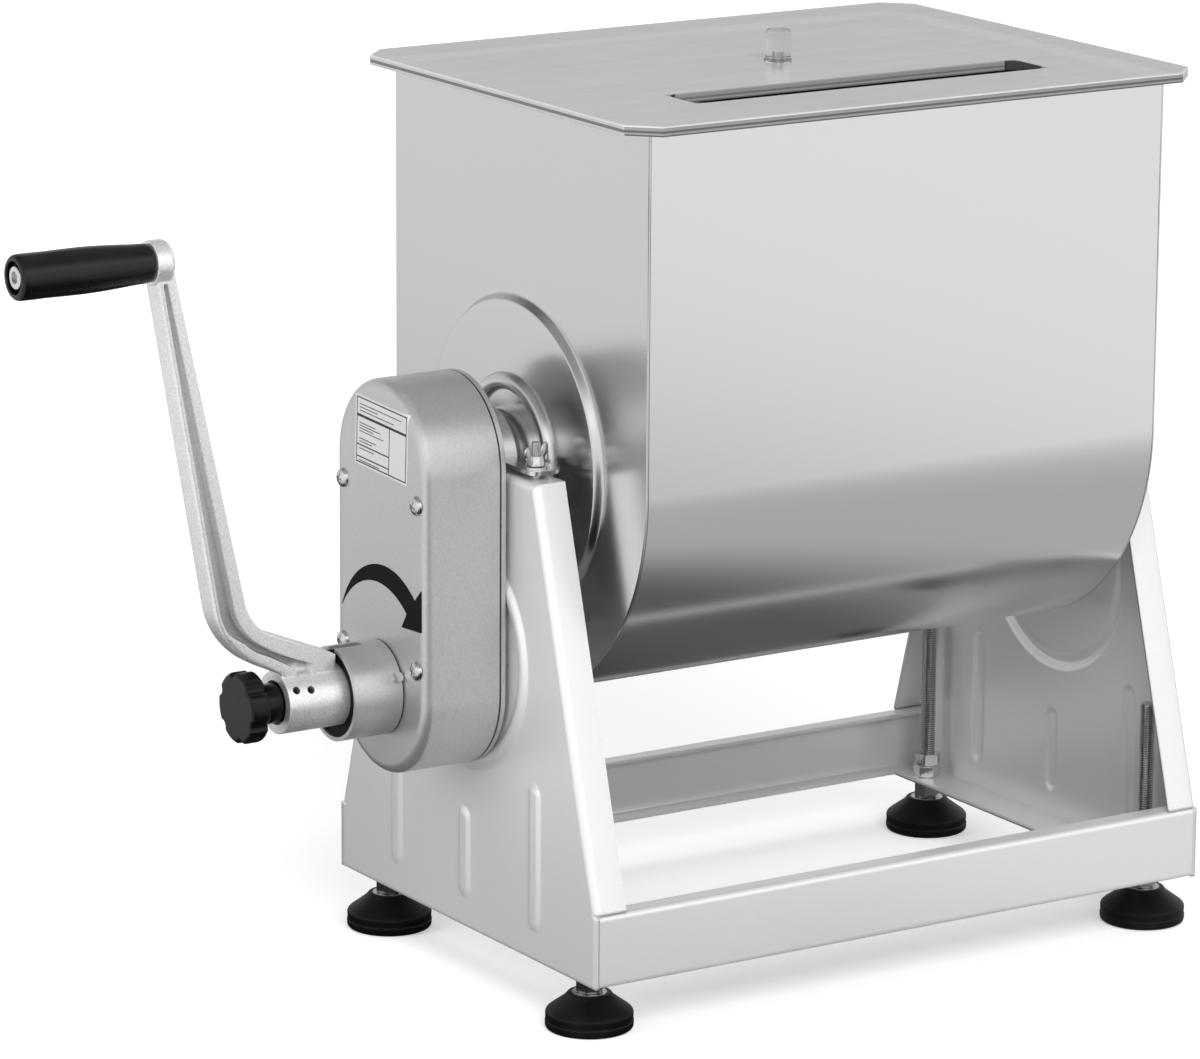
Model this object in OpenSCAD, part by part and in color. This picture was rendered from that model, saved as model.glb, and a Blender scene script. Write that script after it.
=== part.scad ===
// Hand cranked meat mixer: a round bottomed steel tank hangs by two necks
// between sheet steel side stands, and a crank turns its paddles through a
// three gear train. X runs along the shaft, the crank is at -X, -Y is the
// front, and the origin is on the floor midway between the four feet.

/* [Tank] */
// Length of the tank over its end walls
tank_len = 310; // [290:1:350]
// Width of the tank, twice the radius of its round bottom
tank_w = 240; // [232:1:244]
// Height of the paddle shaft above the floor
shaft_z = 271.5; // [266:0.5:280]
// Height of the tank rim above the paddle shaft
rim_above_shaft = 181.2; // [165:0.1:195]
// Thickness of the tank sheet
tank_sheet = 1.5; // [1:0.1:2]
// Radius of the raised disc pressed into each end wall
disc_r = 81.5; // [70:0.5:90]
// Radius of the small round boss around each neck
boss_r = 42; // [38:0.5:46]
// How far the disc is pressed out
disc_h = 4; // [2.5:0.1:5]
// Outer radius of a neck
neck_r = 24.5; // [23:0.1:26]
// Wall of a neck
neck_wall = 3.5; // [2.5:0.1:5]

/* [Lid] */
// Overhang of the lid beyond each tank end
lid_over_end = 15; // [9:0.5:20]
// Overhang of the lid beyond the front and back of the tank
lid_over_side = 14; // [5:0.5:20]
// Thickness of the lid
lid_t = 5; // [3:0.5:8]
// Corner cut of the lid
lid_corner = 14; // [4:1:25]
// Length of the pouring slot
slot_len = 212; // [150:1:260]
// Width of the pouring slot
slot_w = 29; // [15:1:35]
// Distance of the slot from the middle of the lid
slot_off = 72.5; // [60:0.5:85]
// Height of the lid knob
knob_h = 16.8; // [12:0.2:30]
// Radius of the lid knob
knob_r = 6.5; // [5:0.1:12]

/* [Stand] */
// Distance from each tank end out to the face of its side plate
end_gap = 30.7; // [29.7:0.1:35]
// Depth of the stand at its base
base_depth = 250.8; // [246:0.2:270]
// Depth of the side plates at their top
top_depth = 132.6; // [126:0.2:140]
// Thickness of the stand sheet
stand_sheet = 2; // [1.5:0.1:2.5]
// Width of the folded edge of the side plates
fold_w = 17.7; // [16:0.1:19]
// Height of the underside of the base above the floor
base_z = 28.2; // [24:0.1:34]
// Height of the front rail, where the side plates start to lean in
rail_h = 37.5; // [30:0.5:45]
// Height of the rear rail
rear_rail_h = 34.5; // [25:0.5:37.5]
// Width of the rail flanges
rail_w = 11; // [8:0.5:20]
// Height of the pressed ribs and ring
rib_h = 1.6; // [1:0.1:2]
// Width of the pressed ribs
rib_w = 10.6; // [8:0.1:14]
// Radius of the pressed ring in the side plates
ring_r = 56.5; // [54:0.5:64]

/* [Feet] */
// Distance of the feet inwards from the face of the side plates
foot_in = 13.3; // [11.7:0.1:15.7]
// Distance of the feet inwards from the front and back of the stand
foot_back = 27; // [25.9:0.1:35]
// Radius of a foot pad
pad_r = 22.3; // [18:0.1:28]
// Height of a foot pad
pad_h = 18.3; // [14:0.1:19]
// Radius of the threaded stem
stem_r = 4; // [3:0.1:4.5]
// Height of the top of the stem above the floor
stem_top = 118; // [80:1:140]

/* [Gearbox] */
// Width of the gearbox
gearbox_w = 87; // [82:0.5:94]
// Depth of the gearbox cover
gearbox_d = 44.3; // [42:0.1:60]
// Thickness of the gearbox cover
cover_t = 1.5; // [1:0.1:2]
// Thickness of the gearbox back plate
back_t = 2.5; // [2:0.1:4]
// Gap between the stand and the gearbox back plate
back_gap = 2.5; // [2.4:0.1:5]
// Outer radius of the collar round the crank hub
collar_r = 24; // [22:0.1:26]
// Length of the collar
collar_len = 28; // [24:0.5:34]
// Teeth of the pinion on the crank
pinion_teeth = 16; // [15:1:18]
// Teeth of the idler gear
idler_teeth = 33; // [32:1:34]
// Teeth of the gear on the paddle shaft
gear_teeth = 28; // [26:1:28]
// Gear module
gear_module = 2; // [1.9:0.05:2]
// Width of the gears
gear_w = 12; // [8:1:14]

/* [Crank] */
// Throw of the crank, from its axis to the axis of the grip
throw = 228.5; // [180:0.5:250]
// Radius of the crank hub
hub_r = 15.9; // [15:0.1:18]
// Length of the hub that stands out of the collar
hub_out = 32.5; // [30:0.5:40]
// Thickness of the arm across its swing
arm_t = 14.6; // [12:0.1:18]
// Depth of the pockets in the arm sides
pocket_d = 5.2; // [2:0.1:6]
// Outward reach of the arm from the hub end to the grip
arm_reach = 67.8; // [62:0.2:80]
// Radius of the crank eye
eye_r = 11; // [10:0.1:14]
// Length of the crank eye
eye_len = 10; // [8:0.5:14]
// Length of the grip
grip_len = 72; // [60:1:110]
// Largest radius of the grip
grip_r = 11.4; // [10:0.1:14]
// Radius of the lobed knob
lobe_knob_r = 18.6; // [16:0.1:24]
// Length of the lobed head of that knob
lobe_knob_len = 10.2; // [8:0.1:14]

/* [Paddles] */
// Radius of the paddle shaft
shaft_r = 10; // [8:0.5:12]
// Gap between the paddle tips and the tank wall
paddle_gap = 6.5; // [4:0.5:12]
// Length of a paddle blade along the shaft
blade_len = 62; // [50:1:70]
// Depth of a paddle blade
blade_depth = 38; // [25:1:50]
// Angle of a blade to the shaft
blade_angle = 30; // [10:1:40]
// Number of paddles along the shaft
paddle_count = 4; // [4:1:4]

/* [Fits] */
// Gap between pieces that move past each other
free_gap = 0.3; // [0.2:0.05:0.5]
// Radial gap between a pin and its hole
fit_gap = 0.05; // [0.03:0.01:0.1]

/* [Hidden] */
$fn = 64;
eps = 0.01;
over = 1;

// Tank
tank_r = tank_w / 2;
end_x = tank_len / 2;
wrap_half = end_x - tank_sheet;
rim_z = shaft_z + rim_above_shaft;
boss_bead_r = 4.5;
boss_lip_r = boss_r - 2 * boss_bead_r;
disc_slope = 8.5;
neck_seat_gap = 0.7;
neck_end_x = end_x + end_gap - stand_sheet - neck_seat_gap;
neck_in_r = neck_r - neck_wall;
seal_len = 4;
seal_x = end_x - tank_sheet + disc_h;

// Lid
lid_len = tank_len + 2 * lid_over_end;
lid_w = tank_w + 2 * lid_over_side;
lid_z = rim_z + free_gap;
lid_top = lid_z + lid_t;
slot_corner = 7;
knob_base_r = 0.6;
knob_base_h = 1;
knob_chamfer = 1.3;
lid_screw_r = 2;
lid_screw_head_r = 4;
lid_screw_head_h = 2.4;
lid_screw_len = 10;

// Stand
stand_x = end_x + end_gap;
plate_in_x = stand_x - stand_sheet;
fold_in_x = stand_x - fold_w;
base_half = base_depth / 2;
top_half = top_depth / 2;
stand_top = shaft_z + 0.5;
rail_top = base_z + rail_h;
rear_rail_top = base_z + rear_rail_h;
lean = atan2(base_half - top_half, stand_top - rail_top);
lean_inset = stand_sheet / cos(lean);
foot_flange_w = 22;
floor_flange_y = base_half - rail_w - free_gap;
rib_y = 67.5;
rib_low = 44;
rib_high = 119;
mid_rib_high = 91;
ring_z = 174;
ring_w = 9;
ring_h = 2.2;
press_wall = 1.5;
shaft_notch_r = shaft_r + 1.5;

// Clamp over each neck
cradle_wall = 4;
cradle_in_r = neck_r + free_gap;
cradle_out_r = cradle_in_r + cradle_wall;
cradle_x0 = fold_in_x;
strap_t = 2;
strap_gap = 3;
strap_arch_len = 12.5;
strap_x0 = fold_in_x - 2.5;
strap_x1 = plate_in_x - 0.2;
strap_reach = 61;
strap_corner = 5;
strap_z = stand_top + strap_gap;
stud_r = 2.5;
stud_in = 8;
stud_rise = 15;
stud_x = fold_in_x + stud_in;
stud_y = 52;
stud_top = strap_z + stud_rise;
stud_head_r = 4.5;
stud_head_h = 3;
washer_r = 5.6;
washer_t = 1;
wing_base_r = 4.8;
wing_base_h = 4;
wing_t = 1.8;
wing_z = strap_z + strap_t + washer_t + free_gap;
wing_turn = 25;

// Feet
foot_x = stand_x - foot_in;
foot_y = base_half - foot_back;
pad_side_h = 8.3;
pad_top_r = 10.9;
pad_foot_r = 21.6;
pad_foot_h = 1.5;
pad_dish_h = 0.8;
stem_ring_r = 8.85;
stem_ring_h = 0.9;
stem_foot_z = 5;
hex_r = 7;
hex_top = base_z - free_gap;
nut_r = 7.4;
nut_h = 6.5;
nut_gap = 0.2;
stem_hole_r = stem_r + free_gap;

// Gearbox
gear_span = gear_module * (pinion_teeth + 2 * idler_teeth + gear_teeth) / 2;
crank_z = shaft_z - gear_span;
idler_z = crank_z + gear_module * (pinion_teeth + idler_teeth) / 2;
box_half = gearbox_w / 2;
box_up_z = shaft_z + 3;
box_low_z = crank_z - 1;
back_x = stand_x + back_gap;
cover_x = back_x + back_t;
face_x = cover_x + gearbox_d;
edge_r = 5;
inner_edge_r = edge_r - cover_t;
gear_back = 33;
gear_x = face_x - gear_back;
post_r = 4;
post_tip_r = 3;
post_tip_h = 1.2;
post_in = 7.5;
post_down = 10;
post_up = 16;
post_y = box_half - post_in;
post_up_z = shaft_z - post_down;
post_low_z = crank_z + post_up;
cover_screw_r = 2.4;
cover_screw_hole_r = 2.6;
cover_screw_head_r = 5;
cover_screw_head_h = 3;
cover_screw_len = 14;
cover_screw_cross = 1;
fixing_r = 2.9;
fixing_hole_r = 3.1;
fixing_head_r = 5;
fixing_head_h = 3.3;
fixing_nut_h = 4.5;
fixing_nut_r = 5.8;
fixing_y = 25;
fixing_up = 30;
fixing_down = 25;
fixing_up_z = idler_z + fixing_up;
fixing_low_z = idler_z - fixing_down;
collar_wall = 2;
collar_end_x = face_x + collar_len;
collar_slot_w = 6;
collar_slot_len = 16;
liner_recess = 1.5;
liner_in_r = hub_r + free_gap;
collar_screw_r = 1.5;
collar_screw_head_r = 2.6;
collar_screw_head_h = 1.8;
collar_screw_out = 3;
collar_screw_x = face_x + collar_screw_out;
collar_screw_angle = 24;
bush_r = 13;
bush_len = 8;
axle_r = 6;
axle_head_r = 9;
axle_head_h = 2;
sticker_t = 0.3;
plate_w = 51;
plate_h = 36;
plate_y = -2.2;
plate_up = 17.1;
plate_turn = 2.4;
plate_z = shaft_z + plate_up;
arrow_out_r = 44.2;
arrow_out_mid = [-4, crank_z + 18.7];
arrow_in_r = 43.5;
arrow_in_mid = [1.8, crank_z + 9.9];
arrow_tail = [37.6, crank_z + 34.4];
arrow_head = [[-47.4, crank_z + 64.8], [-50, crank_z + 36.9], [-21.5, crank_z + 35.3]];
arrow_out_a = [24, 132.7];
arrow_in_a = [130.4, 38.5];
arrow_head_y = 40.3;

// Gear teeth
pressure_angle = 20;
backlash = 0.3;
tooth_tip = 1;
tooth_root = 1.25;
flank_steps = 3;
pinion_pitch = 360 / pinion_teeth;
idler_pitch = 360 / idler_teeth;
gear_pitch = 360 / gear_teeth;
idler_phase = 180 - idler_pitch / 2;
idler_offset = idler_phase - round(idler_phase / idler_pitch) * idler_pitch;
gear_phase = 180 - idler_offset * idler_teeth / gear_teeth - gear_pitch / 2;
pinion_hub_r = 12;
idler_hub_r = 12;
gear_hub_r = 16;
gear_hub_len = 7;

// Crank
input_r = 8;
hub_end_x = collar_end_x + hub_out;
hub_in = 5;
hub_in_x = face_x + hub_in;
hub_recess_r = 11.2;
hub_recess_d = 4;
input_end_x = hub_end_x - hub_recess_d;
input_in_x = cover_x + over;
grub_hole_r = 2;
grub_hole_a = [33, 30];
grub_hole_in = [5, 13];
grip_z = crank_z + throw;
eye_out_x = hub_end_x + arm_reach;
eye_in_x = eye_out_x - eye_len;
knee_out_r = 43;
knee_in_r = 26;
knee_back = 5.3;
knee_up = 60.7;
knee_x = hub_end_x - knee_back;
knee_z = crank_z + knee_up;
knee_low_a = 28;
knee_top_out_a = 80.9;
knee_top_in_a = 79;
arm_top_w = 9.7;
arm_root_h = 22.2;
arm_clear = 1.5;
front_flange = 2.5;
rear_flange = 6.9;
pocket_top_out = 4.4;
pocket_top_in = 6.9;
pocket_top_gap = 0.5;
eye_round = 3;
pocket_out_r = knee_out_r - 6;
pocket_in_r = knee_in_r + rear_flange;
arc_steps = 8;
grip_root_r = 9.7;
grip_swell = 0.45;
grip_tip_x = eye_out_x + free_gap + grip_len;
grip_edge_r = 2.5;
grip_dish_r = 8;
grip_dish_d = 4;
spindle_r = 4;
grip_bore_r = spindle_r + fit_gap;
spindle_head_r = 5.8;
spindle_head_h = 3.2;
knob_stem_r = 10.1;
knob_back_x = hub_end_x - hub_recess_d + free_gap;
knob_stem_out = 11.8;
lobe_count = 6;
lobe_turn = -10;
lobe_notch_r = 3.6;
lobe_notch_out = 1.2;
knob_stud_r = 3.95;
knob_stud_deep = 19;
knob_stud_hole = 22;

// Paddles
rotor_r = tank_r - tank_sheet - paddle_gap;
shaft_out_x = gear_x + gear_w + 4;
shaft_far_x = neck_end_x - over;
paddle_step = (tank_len - 2 * 19) / paddle_count;
paddle_arm_r = 6;
paddle_hub_r = 16;
paddle_hub_len = 24;
blade_t = 4;
blade_mid = 12;

// Outlines given in the (Y, Z) plane are extruded along +X from x
module along_x(x, len) {
    translate([x, 0, 0]) rotate([90, 0, 90]) linear_extrude(len) children();
}

// A child turned about +Z is laid with its axis along X at height z
module on_x_axis(x, y, z) {
    translate([x, y, z]) rotate([0, 90, 0]) children();
}

// A plain cylinder from x to x + len
module rod_x(x, y, z, r, len) {
    on_x_axis(x, y, z) cylinder(r = r, h = len);
}

// A ring from x to x + len
module ring_x(x, z, r_out, r_in, len) {
    difference() {
        rod_x(x, 0, z, r_out, len);
        rod_x(x - over, 0, z, r_in, len + 2 * over);
    }
}

// The right side is the mirror image of the left side
module on_right() {
    mirror([1, 0, 0]) children();
}

// Points of an arc in the drawing plane
function arc(cx, cz, r, a0, a1, n) =
    [for (i = [0 : n]) let (a = a0 + (a1 - a0) * i / n) [cx + r * cos(a), cz + r * sin(a)]];

// A rectangle with four rounded corners
module rounded_rect(w, h, r) {
    union() {
        square([w - 2 * r, h], center = true);
        square([w, h - 2 * r], center = true);
        for (sx = [-1, 1], sy = [-1, 1]) {
            translate([sx * (w / 2 - r), sy * (h / 2 - r)]) circle(r = r);
        }
    }
}

// Outline of the stand side plate, inset by a distance
function plate_outline(inset) = [
    [-base_half + inset, base_z],
    [base_half - inset, base_z],
    [base_half - inset, rear_rail_top],
    [top_half - inset, stand_top],
    [-top_half + inset, stand_top],
    [-base_half + inset, rail_top]
];

// A pressed rib: a lens shaped bead that stands h proud of a plane
function bead_radius(w, h) = (w * w / 4 + h * h) / (2 * h);

module rib_core(y, z0, z1, r, depth) {
    translate([-stand_x + depth, y, z0]) cylinder(r = r, h = z1 - z0);
    translate([-stand_x + depth, y, z0]) sphere(r = r);
    translate([-stand_x + depth, y, z1]) sphere(r = r);
}

// All beads of a side plate, thinner than their full radius by cut
module plate_beads(cut) {
    r = bead_radius(rib_w, rib_h);
    depth = r - rib_h;
    inset = rib_w / 2;
    rib_core(rib_y, rib_low + inset, rib_high - inset, r - cut, depth);
    rib_core(-rib_y, rib_low + inset, rib_high - inset, r - cut, depth);
    rib_core(0, rib_low + inset, mid_rib_high - inset, r - cut, depth);
    rr = bead_radius(ring_w, ring_h);
    on_x_axis(-stand_x + rr - ring_h, 0, ring_z) rotate_extrude()
        translate([ring_r, 0]) circle(r = rr - cut);
}

// The flat web of a side plate with its beads
module plate_web() {
    difference() {
        union() {
            along_x(-stand_x, stand_sheet) polygon(plate_outline(0));
            intersection() {
                plate_beads(0);
                translate([-stand_x - 2 * ring_h, -base_half, base_z])
                    cube([2 * ring_h + eps, base_depth, stand_top - base_z]);
            }
        }
        plate_beads(press_wall);
    }
}

// The folded edge along the top and the two leaning sides
module plate_fold() {
    along_x(-stand_x, fold_w) difference() {
        polygon([[-base_half, rail_top], [-top_half, stand_top], [top_half, stand_top],
            [base_half, rear_rail_top]]);
        polygon([[-base_half + lean_inset, rail_top - over],
            [-top_half + lean_inset, stand_top - stand_sheet],
            [top_half - lean_inset, stand_top - stand_sheet],
            [base_half - lean_inset, rear_rail_top - over]]);
    }
}

// The floor flange that carries the feet, with its two stem holes
module plate_floor() {
    difference() {
        translate([-stand_x, -floor_flange_y, base_z])
            cube([foot_flange_w + stand_sheet, 2 * floor_flange_y, stand_sheet]);
        for (s = [-1, 1]) {
            translate([-foot_x, s * foot_y, base_z - over])
                cylinder(r = stem_hole_r, h = stand_sheet + 2 * over);
        }
    }
}

module side_plate(fixings) {
    color("#c4c6c8") difference() {
        union() {
            plate_web();
            plate_fold();
            plate_floor();
        }
        rod_x(-plate_in_x - eps, 0, shaft_z, cradle_out_r, fold_w);
        rod_x(-stand_x - over, 0, shaft_z, shaft_notch_r, 2 * over + stand_sheet);
        for (s = [-1, 1]) {
            translate([-stud_x, s * stud_y, stand_top - stand_sheet - over])
                cylinder(r = stud_r + fit_gap, h = stand_sheet + 2 * over);
        }
        if (fixings) {
            at_fixings() rod_x(-stand_x - over, 0, 0, fixing_hole_r, stand_sheet + 2 * over);
        }
    }
}

module stand_plate_left() {
    side_plate(true);
}

module stand_plate_right() {
    on_right() side_plate(false);
}

// A channel rail of height h, open towards the middle of the stand
module rail(h) {
    y0 = -base_half;
    top = base_z + h;
    color("#d4d6d8") along_x(-plate_in_x, 2 * plate_in_x) polygon([
        [y0, base_z], [y0 + rail_w, base_z], [y0 + rail_w, base_z + stand_sheet],
        [y0 + stand_sheet, base_z + stand_sheet], [y0 + stand_sheet, top - stand_sheet],
        [y0 + rail_w, top - stand_sheet], [y0 + rail_w, top], [y0, top]]);
}

module front_rail() {
    rail(rail_h);
}

module rear_rail() {
    mirror([0, 1, 0]) rail(rear_rail_h);
}

// The half ring under a neck
module cradle() {
    color("#b4b6b8") difference() {
        ring_x(-plate_in_x, shaft_z, cradle_out_r, cradle_in_r, plate_in_x - cradle_x0);
        translate([-plate_in_x - over, -neck_r * 2, stand_top])
            cube([fold_w + 2 * over, neck_r * 4, neck_r * 2]);
    }
}

module cradle_left() {
    cradle();
}

module cradle_right() {
    on_right() cradle();
}

// Places its children at the four clamp studs
module at_studs() {
    for (sx = [-1, 1], sy = [-1, 1]) {
        translate([sx * stud_x, sy * stud_y, 0]) children();
    }
}

module clamp_studs() {
    color("#c8c8c8") at_studs() {
        translate([0, 0, stand_top - stand_sheet - stud_head_h])
            cylinder(r = stud_head_r, h = stud_head_h);
        translate([0, 0, stand_top - stand_sheet - over])
            cylinder(r = stud_r, h = stud_top - stand_top + stand_sheet + over);
    }
}

// Arched strap over a neck, with a flange each side
module strap() {
    strap_out_r = cradle_in_r + strap_t;
    color("#b8babc") difference() {
        union() {
            difference() {
                ring_x(-strap_x1, shaft_z, strap_out_r, cradle_in_r, strap_arch_len);
                translate([-strap_x1 - over, -neck_r * 2, shaft_z - neck_r * 2])
                    cube([strap_arch_len + 2 * over, neck_r * 4, strap_z - shaft_z + neck_r * 2]);
            }
            for (s = [-1, 1]) {
                mid = s * (strap_reach + cradle_in_r) / 2;
                translate([-(strap_x0 + strap_x1) / 2, mid, strap_z]) linear_extrude(strap_t)
                    rounded_rect(strap_x1 - strap_x0, strap_reach - cradle_in_r, strap_corner);
                translate([-strap_x1, s > 0 ? cradle_in_r : -cradle_in_r - 2 * strap_corner, strap_z])
                    cube([strap_x1 - strap_x0, 2 * strap_corner, strap_t]);
            }
        }
        rod_x(-strap_x1 - over, 0, shaft_z, cradle_in_r, strap_x1 - strap_x0 + 2 * over);
        for (s = [-1, 1]) {
            translate([-stud_x, s * stud_y, strap_z - over])
                cylinder(r = stud_r + free_gap, h = strap_t + 2 * over);
        }
    }
}

module strap_left() {
    strap();
}

module strap_right() {
    on_right() strap();
}

module clamp_washers() {
    color("#d0d0d0") at_studs() translate([0, 0, strap_z + strap_t]) difference() {
        cylinder(r = washer_r, h = washer_t);
        translate([0, 0, -over]) cylinder(r = stud_r + fit_gap, h = washer_t + 2 * over);
    }
}

// A wing nut that turns on its stud
module wing_nut(sx, sy) {
    color("#d6d6d6") translate([sx * stud_x, sy * stud_y, wing_z]) difference() {
        union() {
            cylinder(r = wing_base_r, h = wing_base_h);
            for (turn = [0, 180]) {
                rotate([90, 0, wing_turn + turn]) translate([0, 0, -wing_t / 2])
                    linear_extrude(wing_t) polygon(concat([[3, 0.8], [5, 1.2]],
                        arc(8.6, 8.4, 2.4, -40, 140, arc_steps), [[3.4, wing_base_h]]));
            }
        }
        translate([0, 0, -over])
            cylinder(r = stud_r + fit_gap, h = wing_base_h * 3);
    }
}

module wing_nut_front_left() {
    wing_nut(-1, -1);
}

module wing_nut_front_right() {
    wing_nut(1, -1);
}

module wing_nut_rear_left() {
    wing_nut(-1, 1);
}

module wing_nut_rear_right() {
    wing_nut(1, 1);
}

// Two hexagon nuts on each foot stem
module foot_nuts() {
    color("#bcbcb8") for (sx = [-1, 1], sy = [-1, 1], level = [0, 1]) {
        translate([sx * foot_x, sy * foot_y, base_z + stand_sheet + level * (nut_h + nut_gap)])
            difference() {
                cylinder(r = nut_r, h = nut_h, $fn = 6);
                translate([0, 0, -over]) cylinder(r = stem_r + fit_gap, h = nut_h + 2 * over);
            }
    }
}

// Rubber pad of a foot
module foot_pad(sx, sy) {
    color("#1c1c1c") translate([sx * foot_x, sy * foot_y, 0]) difference() {
        rotate_extrude() polygon([[0, 0], [pad_foot_r, 0], [pad_r, pad_foot_h],
            [pad_r, pad_side_h], [pad_top_r, pad_h], [0, pad_h]]);
        translate([0, 0, stem_foot_z - fit_gap]) cylinder(r = stem_r + fit_gap, h = pad_h);
        translate([0, 0, pad_h - pad_dish_h]) cylinder(r = stem_ring_r + fit_gap, h = pad_h);
    }
}

// Threaded stem of a foot, with its hexagon and the ring on the pad
module foot_stem(sx, sy) {
    color("#a8aaac") translate([sx * foot_x, sy * foot_y, 0]) union() {
        translate([0, 0, stem_foot_z]) cylinder(r = stem_r, h = stem_top - stem_foot_z);
        translate([0, 0, pad_h - pad_dish_h]) cylinder(r = stem_ring_r, h = stem_ring_h);
        translate([0, 0, pad_h]) cylinder(r = hex_r, h = hex_top - pad_h, $fn = 6);
    }
}

module foot_pad_front_left() {
    foot_pad(-1, -1);
}

module foot_pad_front_right() {
    foot_pad(1, -1);
}

module foot_pad_rear_left() {
    foot_pad(-1, 1);
}

module foot_pad_rear_right() {
    foot_pad(1, 1);
}

module foot_stem_front_left() {
    foot_stem(-1, -1);
}

module foot_stem_front_right() {
    foot_stem(1, -1);
}

module foot_stem_rear_left() {
    foot_stem(-1, 1);
}

module foot_stem_rear_right() {
    foot_stem(1, 1);
}

// Places its children at the four bolts that hold the gearbox
module at_fixings() {
    for (s = [-1, 1], z = [fixing_low_z, fixing_up_z]) {
        translate([0, s * fixing_y, z]) children();
    }
}

// Places its children at the four cover screws
module at_cover_screws() {
    for (s = [-1, 1], z = [post_low_z, post_up_z]) {
        translate([0, s * post_y, z]) children();
    }
}

// The gearbox outline: a straight sided shape with round ends
module box_plate(x, len, r) {
    along_x(x, len) union() {
        translate([0, box_up_z]) circle(r = r);
        translate([0, box_low_z]) circle(r = r);
        translate([-r, box_low_z]) square([2 * r, box_up_z - box_low_z]);
    }
}

// A solid of the gearbox outline whose front edge is rounded
module box_solid(r, len, round_r) {
    half = concat([[0, 0], [r, 0]], arc(r - round_r, len - round_r, round_r, 0, 90, arc_steps),
        [[0, len]]);
    full = concat([[-r, 0], [r, 0]], arc(r - round_r, len - round_r, round_r, 0, 90, arc_steps),
        arc(-r + round_r, len - round_r, round_r, 90, 180, arc_steps));
    for (z = [box_low_z, box_up_z]) {
        translate([-cover_x, 0, z]) rotate([0, -90, 0]) rotate_extrude() polygon(half);
    }
    translate([-cover_x, 0, box_low_z]) rotate([0, 0, 90]) linear_extrude(box_up_z - box_low_z)
        polygon(full);
}

module gearbox_back_plate() {
    color("#c0c2c4") difference() {
        box_plate(-cover_x, back_t, box_half);
        rod_x(-cover_x - over, 0, shaft_z, shaft_notch_r, back_t + 2 * over);
        rod_x(-cover_x - over, 0, idler_z, axle_r + fit_gap, back_t + 2 * over);
        at_fixings() rod_x(-cover_x - over, 0, 0, fixing_hole_r, back_t + 2 * over);
    }
}

module gearbox_cover() {
    color("#c2c4c6") difference() {
        box_solid(box_half, gearbox_d, edge_r);
        translate([over, 0, 0])
            box_solid(box_half - cover_t, gearbox_d - cover_t + over, inner_edge_r);
        rod_x(-face_x - over, 0, crank_z, collar_r - collar_wall, cover_t + 2 * over + edge_r);
        at_cover_screws() rod_x(-face_x - over, 0, 0, cover_screw_hole_r, edge_r + over);
    }
}

module gearbox_screws() {
    color("#dcdcdc") at_cover_screws() difference() {
        union() {
            translate([-face_x, 0, 0]) rotate([0, -90, 0]) rotate_extrude() polygon(concat(
                [[0, 0], [cover_screw_head_r, 0]],
                [for (a = [20 : 14 : 90]) [cover_screw_head_r * cos(a),
                    cover_screw_head_h * sin(a)]],
                [[0, cover_screw_head_h]]));
            rod_x(-face_x - eps, 0, 0, cover_screw_r, cover_screw_len);
        }
        for (turn = [0, 90]) {
            translate([-face_x - cover_screw_head_h, 0, 0]) rotate([turn + 20, 0, 0])
                cube([2.4, 5, cover_screw_cross], center = true);
        }
    }
}

module gearbox_posts() {
    post_len = gearbox_d - cover_t;
    color("#9a9a9a") at_cover_screws() difference() {
        union() {
            rod_x(-cover_x - post_len + post_tip_h, 0, 0, post_r, post_len - post_tip_h);
            on_x_axis(-cover_x - post_len, 0, 0)
                cylinder(r1 = post_tip_r, r2 = post_r, h = post_tip_h);
        }
        rod_x(-face_x, 0, 0, cover_screw_r + fit_gap, cover_screw_len + over);
    }
}

// Bolts, spacers and nuts that hold the gearbox to the stand plate
module gearbox_fixings() {
    color("#a6a6a6") at_fixings() {
        union() {
            rod_x(-cover_x - fixing_head_h, 0, 0, fixing_head_r, fixing_head_h);
            rod_x(-cover_x - eps, 0, 0, fixing_r, cover_x - plate_in_x + fixing_nut_h);
        }
        difference() {
            rod_x(-back_x, 0, 0, fixing_head_r, back_gap);
            rod_x(-back_x - over, 0, 0, fixing_r + fit_gap, back_gap + 2 * over);
        }
        difference() {
            on_x_axis(-plate_in_x, 0, 0) cylinder(r = fixing_nut_r, h = fixing_nut_h, $fn = 6);
            rod_x(-plate_in_x - over, 0, 0, fixing_r + fit_gap, fixing_nut_h + 2 * over);
        }
    }
}

module crank_collar() {
    color("#c6c8ca") difference() {
        ring_x(-collar_end_x, crank_z, collar_r, collar_r - collar_wall, collar_len);
        translate([-collar_end_x - over, -collar_slot_w / 2, crank_z + collar_r - 2 * collar_wall])
            cube([collar_slot_len + over, collar_slot_w, 3 * collar_wall]);
        at_collar_screw() cylinder(r = collar_screw_r + fit_gap, h = 2 * collar_wall + over);
    }
}

// Places its child on the collar wall, with +Z pointing outwards
module at_collar_screw() {
    translate([-collar_screw_x, 0, crank_z]) rotate([90 - collar_screw_angle, 0, 0])
        translate([0, 0, collar_r - 2 * collar_wall]) children();
}

module collar_liner() {
    liner_len = collar_len - liner_recess;
    color("#161616") difference() {
        ring_x(-face_x - liner_len, crank_z, collar_r - collar_wall - fit_gap, liner_in_r, liner_len);
        at_collar_screw() cylinder(r = collar_screw_r + free_gap, h = 2 * collar_wall);
    }
}

module collar_screw() {
    color("#e0e0e0") at_collar_screw() union() {
        cylinder(r = collar_screw_r, h = 2 * collar_wall + eps);
        translate([0, 0, 2 * collar_wall])
            cylinder(r = collar_screw_head_r, h = collar_screw_head_h);
    }
}

module input_bush() {
    color("#b08d4a") ring_x(-cover_x - bush_len, crank_z, bush_r, input_r + fit_gap, bush_len);
}

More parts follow.
